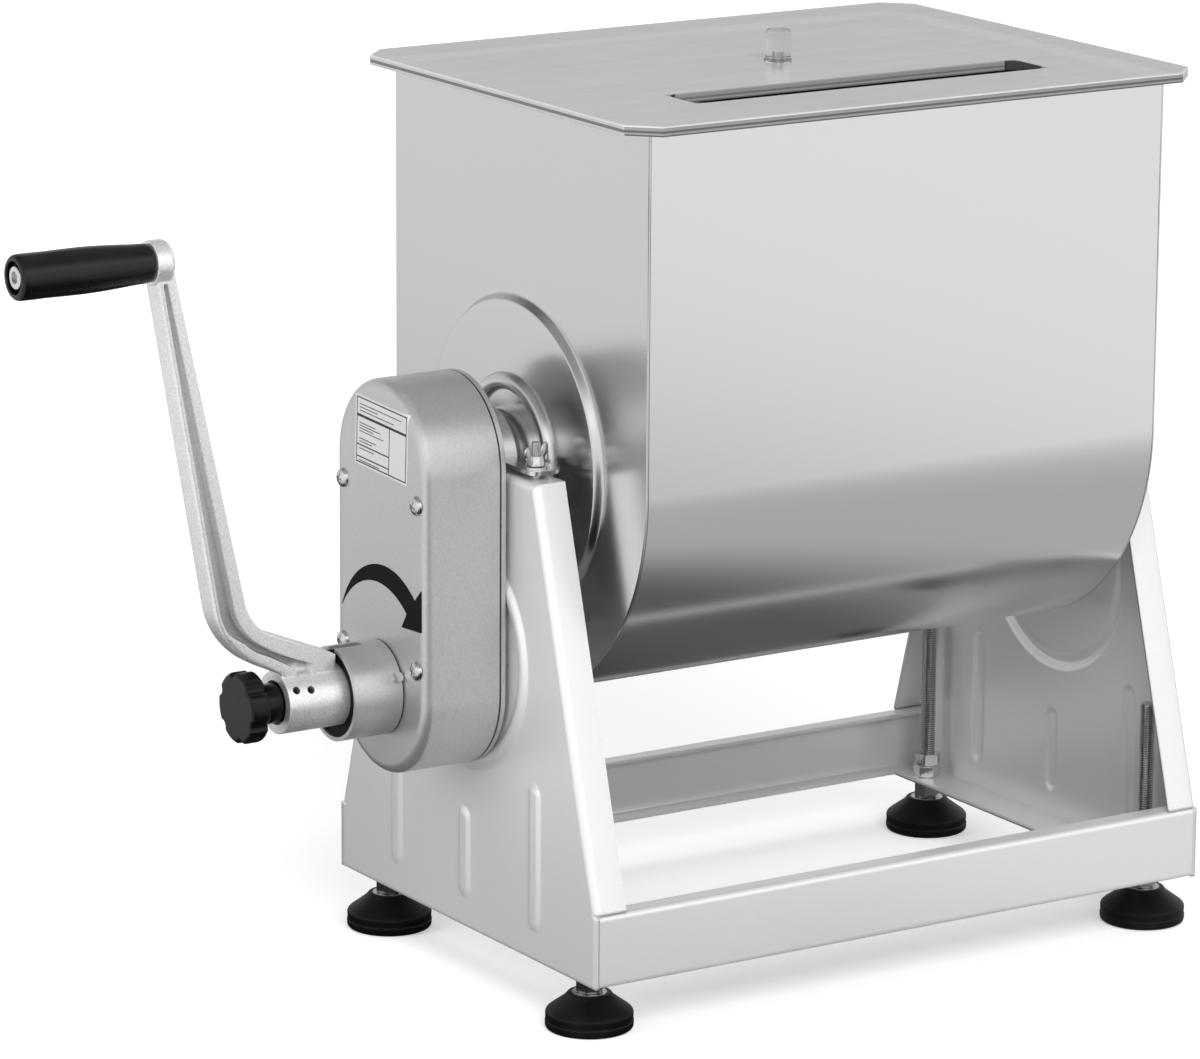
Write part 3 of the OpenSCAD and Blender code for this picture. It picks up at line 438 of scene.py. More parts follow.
@dataclass(frozen=True)
class ClearAcrylic(Finish):
    """Frosted clear sheet: a painted highlight on the upper rim, painted shade on cut edges and slot.

    The cut edges of the front and the rear get painted shade with two painted dark bands. The left end is
    painted paler with one painted dark band, and the rear wall of the slot is painted as dark as a cut edge.
    """

    level: float = 0.5
    body_alpha: float = 0.84
    half_x: float = 170.0
    half_y: float = 134.0
    top: float = 457.3
    middle_z: float = 455.2
    edge_band: float = 0.5
    edge_corner: float = 14.5
    # Painted shade on the cut edges, with two painted dark bands at these heights from the middle
    edge_shade_level: float = 0.15
    edge_share: float = 0.55
    bands: tuple[tuple[float, float], ...] = ((0.0, 0.55), (-1.9, 0.4))
    # The left end is painted paler, with a painted dark band across its middle
    end_painted_level: float = 0.44
    end_band: float = 0.8
    end_shade_drop: float = 0.72
    # Painted highlight along the upper rim: its band, its cut across the corners and how much it lightens
    highlight_band: float = 1.4
    highlight_corner: float = 16.0
    highlight_share: float = 0.3
    # Painted shade in the slot and on its rear wall: the slot's bounds, how dark, and the wall's width and
    # tone
    slot_half_x: float = 106.4
    slot_front: float = -87.2
    slot_back: float = -58.1
    slot_shade: float = 0.88
    wall_half: float = 0.3
    wall_shade_level: float = 0.12

    def _outline(self, x: Channel, y: Channel, band: float, corner: float) -> Channel:
        """Gives 1 within a band along the sides and across the corners, and 0 elsewhere."""
        sides = abs(x).above(self.half_x - band) + abs(y).above(self.half_y - band)
        return (sides + (abs(x) + abs(y)).above(self.half_x + self.half_y - corner)).above(0.5)

    def inputs(self, tree: ShaderTree) -> dict[str, Feed]:
        """Adds painted edge and slot shade, a painted rim highlight and faint smears to a clear sheet."""
        place = tree.place()
        x, y, z = tree.axes_mm(place)
        edge = self._outline(x, y, self.edge_band, self.edge_corner)
        # Painted highlight along the upper rim
        rim = self._outline(x, y, self.highlight_band, self.highlight_corner) * z.above(self.top)
        # Painted shade in the slot and on its rear wall
        slot_shade_mask = abs(x).below(self.slot_half_x) * y.above(self.slot_front) * y.below(self.slot_back)
        shaded_rear_wall = abs(x).below(self.slot_half_x) * abs(y - self.slot_back).below(self.wall_half)
        smear = tree.noise(tree.scaled(place, (0.5, 3.0, 1.0)), 26.0, 4.0)
        # Painted shade on the cut edges: dark bands in front and behind, and a paler painted left end
        cut = (edge + shaded_rear_wall).above(0.5) * (1 - z.above(self.top))
        end_middle = abs(z - self.middle_z).below(self.end_band)
        end_painted_tone = self.end_painted_level * (1 - end_middle * self.end_shade_drop) - self.edge_shade_level
        front_painted_tone = self.edge_shade_level * self.edge_share + shaded_rear_wall * self.wall_shade_level
        for height, half_band in self.bands:
            front_painted_tone = front_painted_tone - abs(z - (self.middle_z + height)).below(half_band) * self.edge_shade_level
        is_end = x.below(self.edge_band - self.half_x)
        cut_shade_tone = self.edge_shade_level + is_end * end_painted_tone + (1 - is_end) * front_painted_tone
        # Faint smears, then the painted rim highlight and the painted shade of the cut edges
        smear_and_painted_light = (0.93 + smear * 0.14 + rim * self.highlight_share) * (1 - cut * (1 - cut_shade_tone / self.level))
        return {
            "Base Color": tree.tint(grey(self.level), smear_and_painted_light * (1 - slot_shade_mask * self.slot_shade)),
            "Roughness": 0.1 + smear * 0.08,
            "Specular IOR Level": 0.6,
            "Alpha": self.body_alpha - 0.04 + smear * 0.08 + (edge + slot_shade_mask) * (1 - self.body_alpha),
            "Normal": tree.bumped(smear, 0.01, self.edge),
        }


@dataclass(frozen=True)
class ClearSolid(Finish):
    """Solid clear plastic that bends what lies behind it."""

    level: float = 0.84
    clearness: float = 0.92
    bending: float = 1.42
    ripple_scale: float = 130.0

    def inputs(self, tree: ShaderTree) -> dict[str, Feed]:
        """Adds faint ripples to a clear solid."""
        ripple = tree.noise(tree.place(), self.ripple_scale, 2.0)
        return {
            "Base Color": grey(self.level),
            "Transmission Weight": self.clearness,
            "IOR": self.bending,
            "Roughness": 0.02 + ripple * 0.03,
            "Normal": tree.bumped(ripple, 0.02, self.edge),
        }


@dataclass(frozen=True)
class RuledFilm(Finish):
    """Pale film with plain ruled lines and no lettering.

    A border, one broad rule and two fine ones cross the film, and a column line stands
    at its left. The short rules give a height and an end each, and start at one place.
    """

    level: float = 0.66
    line_level: float = 0.02
    centre_y: float = -2.2
    centre_z: float = SHAFT_Z + 17.1
    half_y: float = 25.5
    half_z: float = 18.0
    turn: float = math.radians(2.4)
    margin_y: float = 1.2
    margin_z: float = 1.1
    line: float = 0.7
    broad_height: float = 7.4
    broad_half: float = 0.7
    fine_heights: tuple[float, ...] = (-7.6, -13.7)
    column: float = -7.7
    rule_start: float = 21.5
    rule_half: float = 0.24
    rule_share: float = 0.7
    short_rules: tuple[tuple[float, float], ...] = (
        (13.4, -19.0), (11.7, 4.0), (10.0, -12.0), (3.7, 6.0), (2.3, 1.0), (0.9, 8.0), (-0.5, -2.0),
        (-4.3, 5.0), (-5.8, 9.0), (-9.4, 7.0), (-15.6, 2.0))

    def inputs(self, tree: ShaderTree) -> dict[str, Feed]:
        """Adds ruled lines, turned with the film, to its face."""
        place = tree.place()
        _, y, z = tree.axes_mm(place)
        across, up = y - self.centre_y, z - self.centre_z
        u = across * math.cos(self.turn) + up * math.sin(self.turn)
        v = up * math.cos(self.turn) - across * math.sin(self.turn)
        wide, high = self.half_y - self.margin_y, self.half_z - self.margin_z
        inside = abs(u).below(wide) * abs(v).below(high)
        border = inside * (1 - abs(u).below(wide - self.line) * abs(v).below(high - self.line))
        column = abs(u - self.column).below(self.line / 2) * v.below(self.broad_height)
        rules = abs(v - self.broad_height).below(self.broad_half) + column
        for height in self.fine_heights:
            rules = rules + abs(v - height).below(self.line / 2) * u.above(self.column)
        for height, end in self.short_rules:
            reach = u.below(self.rule_start) * u.above(end)
            rules = rules + abs(v - height).below(self.rule_half) * reach * self.rule_share
        marks = (border + rules * inside).above(0.5)
        soft = tree.noise(place, 60.0, 2.0)
        return {
            "Base Color": tree.mix(marks, grey(self.level), grey(self.line_level)),
            "Metallic": 0.2,
            "Roughness": 0.34 + soft * 0.1,
            "Normal": tree.bumped(soft, 0.01, self.edge),
        }


TANK_STEEL = BrushedSteel("tank_steel", edge=0.0, grain=Grain.ALONG_X, level=0.8, roughness=0.2,
                          line_depth=0.0015, line_share=0.012, anisotropy=0.2)
END_STEEL = BrushedSteel("end_steel", edge=0.0, grain=Grain.ALONG_Z, level=0.68, roughness=0.22,
                         line_depth=0.0012, line_share=0.012, anisotropy=0.1)
NECK_STEEL = BrushedSteel("neck_steel", edge=0.5, grain=Grain.ROUND_X, level=0.76, roughness=0.15,
                          line_depth=0.003, line_share=0.02, anisotropy=0.2)
PADDLE_STEEL = BrushedSteel("paddle_steel", edge=0.6, grain=Grain.ALONG_Z, level=0.6, roughness=0.32,
                            line_depth=0.004, line_share=0.03)
STAND_PAINT = SilverPaint("stand_paint", edge=0.4, level=0.8, metallic=0.45, roughness=0.32)
CRADLE_PAINT = SilverPaint("cradle_paint", edge=0.4, level=0.6, metallic=0.45, roughness=0.42)
# Gearbox paint, with painted shade in the joints of the cover with the back plate and with the collar
GEARBOX_PAINT = SilverPaint("gearbox_paint", edge=0.5, level=0.6, metallic=0.78, roughness=0.36,
                            grain_scale=800.0, grain_depth=0.08, flake_share=0.2, peel_depth=0.06,
                            joint_shades=((-191.7, -190.72), (-235.8, -235.05)))
CRANK_METAL = CastMetal("crank_metal")
ZINC = PlatedSteel("zinc", edge=0.2, colour=(0.8, 0.8, 0.79), roughness=0.2, cloud_share=0.1)
BRIGHT_ZINC = PlatedSteel("bright_zinc", edge=0.2, colour=(0.74, 0.74, 0.73), roughness=0.15,
                          cloud_share=0.12)
# Zinc of the threaded stems, darker than the other zinc as painted shade for the dark flanks of the threads
SHADED_STEM_ZINC = PlatedSteel("shaded_stem_zinc", edge=0.0, colour=(0.46, 0.46, 0.45), roughness=0.16, cloud_share=0.1)
GEAR_STEEL = PlatedSteel("gear_steel", edge=0.25, colour=(0.42, 0.41, 0.39), roughness=0.35)
BRONZE = PlatedSteel("bronze", edge=0.3, colour=(0.56, 0.38, 0.17), roughness=0.34)
BLACK_PLASTIC = MouldedBlack("black_plastic", edge=0.0, roughness=0.26, skin_depth=0.015, shine=0.4)
KNOB_PLASTIC = MouldedBlack("knob_plastic", edge=0.3, roughness=0.17, skin_depth=0.008, shine=0.26)
BLACK_LINER = MouldedBlack("black_liner", edge=0.3, roughness=0.5, skin_depth=0.02, shine=0.15)
PAD_RUBBER = MouldedBlack("pad_rubber", edge=0.0, skin_depth=0.04, dust=0.004, shine=0.2)
BLACK_PRINT = MouldedBlack("black_print", edge=0.0, roughness=0.5, skin_depth=0.01, shine=0.1)
CLEAR_LID = ClearAcrylic("clear_lid", edge=0.5, level=0.45)
CLEAR_KNOB = ClearSolid("clear_knob", edge=0.0)
PLATE_FILM = RuledFilm("plate_film", edge=0.0)


def joined(x: Points | float, y: Points | float, z: Points | float) -> Points:
    """Joins coordinates into points; each may be constant along rows or columns."""
    return np.stack(np.broadcast_arrays(x, y, z), axis=-1)


def arc(centre: Sequence[float], radius: float, start: float, end: float, steps: int) -> Points:
    """Points of an arc in the drawing plane, from start to end degrees."""
    angle = np.radians(np.linspace(start, end, steps + 1))
    return np.stack([centre[0] + radius * np.cos(angle), centre[1] + radius * np.sin(angle)], axis=1)


def fillet(corners: Sequence[Sequence[float]], radii: Union[float, Sequence[float]], steps: int = 4,
           closed: bool = True) -> Points:
    """Rounds the corners of a polygon or an open line.

    Each corner becomes a quadratic curve from a point before it to a point after it,
    which lie the corner's radius away along its two sides.

    Args:
        corners: The sharp corners.
        radii: One radius for all, or one for each corner.
        steps: Segments of each rounded corner.
        closed: Whether the last corner joins the first.

    Returns:
        The points of the rounded line.
    """
    points = np.asarray(corners, float)
    count = len(points)
    reach = np.broadcast_to(np.asarray(radii, float), (count,))
    parts = []
    share = np.linspace(0, 1, steps + 1)[:, None]
    for i in range(count):
        if reach[i] <= 0 or (not closed and i in (0, count - 1)):
            parts.append(points[i:i + 1])
            continue
        before = points[i - 1] - points[i]
        after = points[(i + 1) % count] - points[i]
        low = points[i] + before / np.linalg.norm(before) * min(reach[i], np.linalg.norm(before) / 2)
        high = points[i] + after / np.linalg.norm(after) * min(reach[i], np.linalg.norm(after) / 2)
        parts.append((1 - share) ** 2 * low + 2 * share * (1 - share) * points[i] + share ** 2 * high)
    return np.concatenate(parts)


def pressed(distance: Points, half_width: float, slope: float) -> Points:
    """A pressed form: 1 inside, falling smoothly to 0 at the half width over a slope."""
    share = np.clip((half_width - distance) / slope, 0, 1)
    return share ** 2 * (3 - 2 * share)


class Shell:
    """Collects closed surfaces and open sheets, then makes one object of them."""

    def __init__(self, name: str) -> None:
        """Starts an empty shell with the piece's name."""
        self.name = name
        self.points: list[Points] = []
        self.faces: list[list[int]] = []
        self.count = 0

    def grid(self, points: Points, close_rows: bool = False, close_columns: bool = True,
             caps: bool = True, outward: bool = True, keep: Points | None = None) -> "Shell":
        """Adds a grid of points as a surface of quads.

        Args:
            points: Rows by columns by 3, in millimetres.
            close_rows: Whether the last row joins the first.
            close_columns: Whether the last column joins the first.
            caps: Whether the first and the last row are closed by a flat face.
            outward: Whether the faces are turned so that the volume is positive.
            keep: Which quads to make, rows by columns, or None for all.

        Returns:
            This shell, so that calls can follow each other.
        """
        rows, columns = points.shape[:2]
        index = np.arange(rows * columns).reshape(rows, columns)
        if close_rows:
            index = np.vstack([index, index[:1]])
        if close_columns:
            index = np.hstack([index, index[:, :1]])
        quads = np.stack([index[:-1, :-1], index[:-1, 1:], index[1:, 1:], index[1:, :-1]], axis=-1)
        faces = (quads.reshape(-1, 4) if keep is None else quads[keep]).tolist()
        if caps and close_columns and not close_rows:
            faces.append(index[0, :-1][::-1].tolist())
            faces.append(index[-1, :-1].tolist())
        flat = points.reshape(-1, 3).astype(float)
        if outward and self._volume(flat, quads.reshape(-1, 4)) < 0:
            faces = [face[::-1] for face in faces]
        self.points.append(flat)
        self.faces.extend([[i + self.count for i in face] for face in faces])
        self.count += len(flat)
        return self

    def sheet(self, points: Points, keep: Points | None = None) -> "Shell":
        """Adds a grid of points as an open sheet, with its faces turned as they come."""
        return self.grid(points, close_columns=False, caps=False, outward=False, keep=keep)

    @staticmethod
    def _volume(points: Points, quads: Points) -> float:
        """Gives the signed volume that quads enclose, seen from their own centre."""
        centred = points - points.mean(axis=0)
        a, b, c, d = (centred[quads[:, i]] for i in range(4))
        return float((a * np.cross(b, c)).sum() + (a * np.cross(c, d)).sum())

    def mesh_object(self, merge: float = 0.0) -> bpy.types.Object:
        """Makes the object, with its points in metres.

        Args:
            merge: Distance in millimetres within which points are joined.

        Returns:
            The object, linked to the scene.
        """
        mesh = bpy.data.meshes.new(self.name)
        mesh.from_pydata((np.concatenate(self.points) * MM).tolist(), [], self.faces)
        obj = bpy.data.objects.new(self.name, mesh)
        bpy.context.scene.collection.objects.link(obj)
        if merge > 0:
            weld_points(obj, merge)
        mesh.shade_smooth()
        mesh.set_sharp_from_angle(angle=math.radians(32))
        return obj


def weld_points(obj: bpy.types.Object, distance: float) -> None:
    """Joins points closer than a distance in millimetres and drops collapsed faces."""
    work = bmesh.new()
    work.from_mesh(obj.data)
    bmesh.ops.remove_doubles(work, verts=work.verts, dist=distance * MM)
    bmesh.ops.dissolve_degenerate(work, edges=work.edges, dist=distance * MM / 10)
    work.to_mesh(obj.data)
    work.free()


def revolve(profile: Points, origin: Sequence[float], axis: str, segments: int = 64) -> Points:
    """Turns a profile round an axis.

    Args:
        profile: Pairs of distance along the axis and radius.
        origin: Where distance 0 lies.
        axis: "x", "-x", "z" or "-z", the way that distance grows.
        segments: Points of each ring.

    Returns:
        A grid with one row for each profile point.
    """
    profile = np.asarray(profile, float)
    angle = np.arange(segments) * TAU / segments
    along = profile[:, :1] * (-1.0 if axis.startswith("-") else 1.0)
    first = profile[:, 1:] * np.cos(angle)
    second = profile[:, 1:] * np.sin(angle)
    points = joined(along, first, second) if axis.endswith("x") else joined(first, second, along)
    return points + np.asarray(origin, float)


def extrude_x(section: Points, low: float, high: float, columns: int = 2) -> Points:
    """Carries a closed (Y, Z) section along X, one row for each place."""
    return joined(np.linspace(low, high, columns)[:, None], section[:, 0], section[:, 1])


def thread(radius: float, pitch: float, low: float, high: float, centre: Sequence[float],
           segments: int = 24, per_turn: int = 8, depth_share: float = 0.5) -> Points:
    """A screw thread as one surface.

    The radius at an angle and a height falls by a wave with flat crests and roots, of
    the height in pitches less the angle in turns. It fades out over the last pitch.

    Args:
        radius: Outer radius.
        pitch: Rise of one turn.
        low: Lower end.
        high: Upper end.
        centre: X and Y of the axis.
        segments: Points of each ring.
        per_turn: Rings of each turn.
        depth_share: Depth of the groove as a share of the pitch.

    Returns:
        The grid of the threaded surface.
    """
    rows = max(4, int((high - low) / pitch * per_turn))
    height = np.linspace(low, high, rows)[:, None]
    angle = (np.arange(segments) * TAU / segments)[None]
    phase = (height / pitch - angle / TAU) % 1.0
    wave = np.clip(1.7 * (1 - np.abs(2 * phase - 1)) - 0.5, 0, 1)
    ends = np.clip((high - height) / pitch, 0, 1) * np.clip((height - low) / pitch, 0, 1)
    r = radius - depth_share * pitch * (wave * ends + (1 - ends) * 0.9)
    return joined(centre[0] + r * np.cos(angle), centre[1] + r * np.sin(angle), height)


def hexagon(corner: float, low: float, high: float, centre: Sequence[float], turn: float = 0.0,
            bore: float = 0.0) -> Points:
    """A chamfered hexagon as one surface.

    The radius is the smaller of the flat sided outline, which depends on the angle, and
    a chamfer cone, which depends on the height.

    Args:
        corner: Radius over the corners.
        low: Lower face.
        high: Upper face.
        centre: X and Y of the axis.
        turn: Degrees that the hexagon is turned by.
        bore: Radius that both faces are drawn in to.

    Returns:
        The grid of the hexagon.
    """
    segments = 72
    angle = np.arange(segments) * TAU / segments
    flat = corner * math.cos(math.pi / 6)
    sector = (angle - math.radians(turn) + math.pi / 6) % (math.pi / 3) - math.pi / 6
    outline = flat / np.cos(sector)
    cut = (corner - flat) / math.sqrt(3)
    heights = [low, low, low + cut, high - cut, high, high]
    limits = [bore, flat - 0.2, corner, corner, flat - 0.2, bore]
    r = np.minimum(outline[None], np.asarray(limits)[:, None])
    z = np.asarray(heights)[:, None]
    return joined(centre[0] + r * np.cos(angle), centre[1] + r * np.sin(angle), z)


def ball(centre: Sequence[float], radii: Sequence[float], turn: float = 0.0, lean: float = 0.0,
         rows: int = 14, segments: int = 20) -> Points:
    """A squashed ball, leaned about its own Y and then turned about Z, in degrees."""
    polar = np.linspace(0.04, math.pi - 0.04, rows)[:, None]
    angle = (np.arange(segments) * TAU / segments)[None]
    x = radii[0] * np.sin(polar) * np.cos(angle)
    y = radii[1] * np.sin(polar) * np.sin(angle)
    z = radii[2] * np.cos(polar)
    tilt, spin = math.radians(lean), math.radians(turn)
    x, z = x * math.cos(tilt) + z * math.sin(tilt), z * math.cos(tilt) - x * math.sin(tilt)
    x, z = x + centre[0], z + centre[2]
    y = y + centre[1]
    return joined(x * math.cos(spin) - y * math.sin(spin), x * math.sin(spin) + y * math.cos(spin), z)


class Assembly:
    """What each sub-assembly shares: how a piece is finished and placed on its body."""

    def settle(self, obj: bpy.types.Object, finish: Finish, body: str, slot: str,
               replaces: Iterable[str] = ()) -> bpy.types.Object:
        """Gives a piece its material and body, and hides the nodes that it stands for.

        Args:
            obj: The piece.
            finish: Its finish.
            body: The body that it rides on.
            slot: The record's material slot; not used.
            replaces: Construction nodes that it stands for.

        Returns:
            The piece.
        """
        obj.data.materials.clear()
        obj.data.materials.append(finish.material())
        even = obj.modifiers.new("even_faces", "WEIGHTED_NORMAL")
        even.keep_sharp = True
        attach(obj, body)
        if replaces:
            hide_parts(*replaces)
        LOG.info("%s: %d faces on %s", obj.name, len(obj.data.polygons), body)
        return obj

    def dress(self, finishes: dict[str, Finish]) -> None:
        """Gives construction nodes that stay their materials."""
        for node, finish in finishes.items():
            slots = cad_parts[node].data.materials
            slots.clear()
            slots.append(finish.material())
            LOG.info("%s: dressed in %s", node, finish.label)


@dataclass
class Tank(Assembly):
    """Round bottomed tank: the wrap, two pressed end walls, necks and what they hold."""

    radius: float = 120.0
    sheet: float = 1.5
    half_length: float = 155.0
    disc_r: float = 81.5
    disc_slope: float = 3.6
    disc_rise: float = 4.0
    bead_r: float = 37.5
    bead_half: float = 4.5
    neck_r: float = 24.55
    edge_drop: float = 0.4
    edge_round: float = 0.45

    def section(self, radius: float, top: float) -> Points:
        """The U shaped line of the tank at a radius, from one rim to the other."""
        bottom = arc((0, SHAFT_Z), radius, 180, 360, 120)
        return np.concatenate([[[-radius, top]], bottom, [[radius, top]]])

    def wrap(self) -> None:
        """The sheet that makes the front, bottom and back, with its edges rounded."""
        outer = self.section(self.radius, RIM_Z - self.edge_drop)
        inner = self.section(self.radius - self.sheet, RIM_Z - self.edge_drop)[::-1]
        wide, narrow = self.radius - self.edge_round, self.radius - self.sheet + self.edge_round
        rim_right = [[wide, RIM_Z], [narrow, RIM_Z]]
        rim_left = [[-narrow, RIM_Z], [-wide, RIM_Z]]
        line = np.concatenate([outer, rim_right, inner, rim_left])
        half = self.half_length - self.sheet
        shell = Shell("wrap_sheet").grid(extrude_x(line, -half, half, 24))
        self.settle(shell.mesh_object(), TANK_STEEL, "tank", "tank_steel", ["tank_wrap"])

    def pressing(self, r: Points) -> Points:
        """How far an end wall stands out at each radius: a disc, and a bead round the neck."""
        across = np.clip(1 - ((r - self.bead_r) / self.bead_half) ** 2, 0, 1)
        return self.disc_rise * pressed(r, self.disc_r, self.disc_slope) + self.bead_half * np.sqrt(across)

    def end_wall(self, name: str, node: str, side: float) -> None:
        """One end wall: rings round the neck out to the U shaped outline, and back inside.

        Args:
            name: The piece's name.
            node: The construction node that it stands for.
            side: -1 at the crank, 1 at the far end.
        """
        top = RIM_Z - SHAFT_Z
        corner = math.degrees(math.atan2(top, self.radius))
        angle = np.radians(np.concatenate([
            np.linspace(-180, 0, 97), np.linspace(0, corner, 17)[1:],
            np.linspace(corner, 180 - corner, 31)[1:], np.linspace(180 - corner, 180, 17)[1:-1]]))
        sine, cosine = np.sin(angle), np.cos(angle)
        upper = np.minimum(self.radius / np.maximum(abs(cosine), 1e-6), top / np.maximum(sine, 1e-6))
        outline = np.where(sine > 0, upper, self.radius)
        near = np.concatenate([
            np.linspace(self.neck_r, self.bead_r - self.bead_half, 4)[:-1],
            self.bead_r - self.bead_half * np.cos(np.linspace(0, math.pi, 15)),
            np.linspace(self.bead_r + self.bead_half, self.disc_r - self.disc_slope, 8)[1:-1],
            np.linspace(self.disc_r - self.disc_slope, self.disc_r, 10),
            [self.disc_r + 3]])
        flat_share = np.array([0.35, 0.7, 1.0])
        flat = near[-1] + (outline[None] - near[-1] - self.edge_drop) * flat_share[:, None]
        rings = np.concatenate([np.repeat(near[:, None], len(angle), axis=1), flat])
        height = self.pressing(rings)
        outside = self._wall(side, rings, height, cosine, sine)
        edge = self._wall(side, outline[None], -self.edge_drop, cosine, sine)
        back = self._wall(side, outline[None], self.edge_drop - self.sheet, cosine, sine)
        inside = self._wall(side, rings, height - self.sheet, cosine, sine)[::-1]
        shell = Shell(name)
        shell.grid(np.concatenate([outside, edge, back, inside]), close_rows=True)
        self.settle(shell.mesh_object(), END_STEEL, "tank", "end_steel", [node])

    def _wall(self, side: float, r: Points, height: Points | float, cosine: Points,
              sine: Points) -> Points:
        """Places rings of an end wall at their height beyond its outer face."""
        return joined(side * (self.half_length + height), r * cosine, SHAFT_Z + r * sine)

    def build(self) -> None:
        """Makes the tank's pieces and dresses those that stay."""
        self.wrap()
        self.end_wall("end_wall_left", "tank_end_left", -1.0)
        self.end_wall("end_wall_right", "tank_end_right", 1.0)
        self.dress({"neck_left": NECK_STEEL, "neck_right": NECK_STEEL, "shaft_bushes": BRONZE,
                    "shaft_seals": BLACK_LINER})


@dataclass
class Lid(Assembly):
    """Clear lid with a pouring slot and a clear knob."""

    knob_r: float = 6.5
    knob_h: float = 16.8
    knob_z: float = 458.0

    def build(self) -> None:
        """Makes the knob and dresses the panel."""
        profile = fillet([(0, 0.4), (0, self.knob_r + 0.6), (1.2, self.knob_r + 0.6), (1.8, self.knob_r),
                          (self.knob_h - 1.4, self.knob_r), (self.knob_h, self.knob_r - 1.5),
                          (self.knob_h, 0.3)], [0, 0.4, 0.4, 0.4, 0.7, 0.7, 0], 4, closed=False)
        shell = Shell("knob_clear").grid(revolve(profile, (0, 0, self.knob_z), "z", 48))
        self.settle(shell.mesh_object(), CLEAR_KNOB, "lid", "clear_lid", ["lid_knob"])
        self.dress({"lid_panel": CLEAR_LID, "lid_knob_screw": GEAR_STEEL})


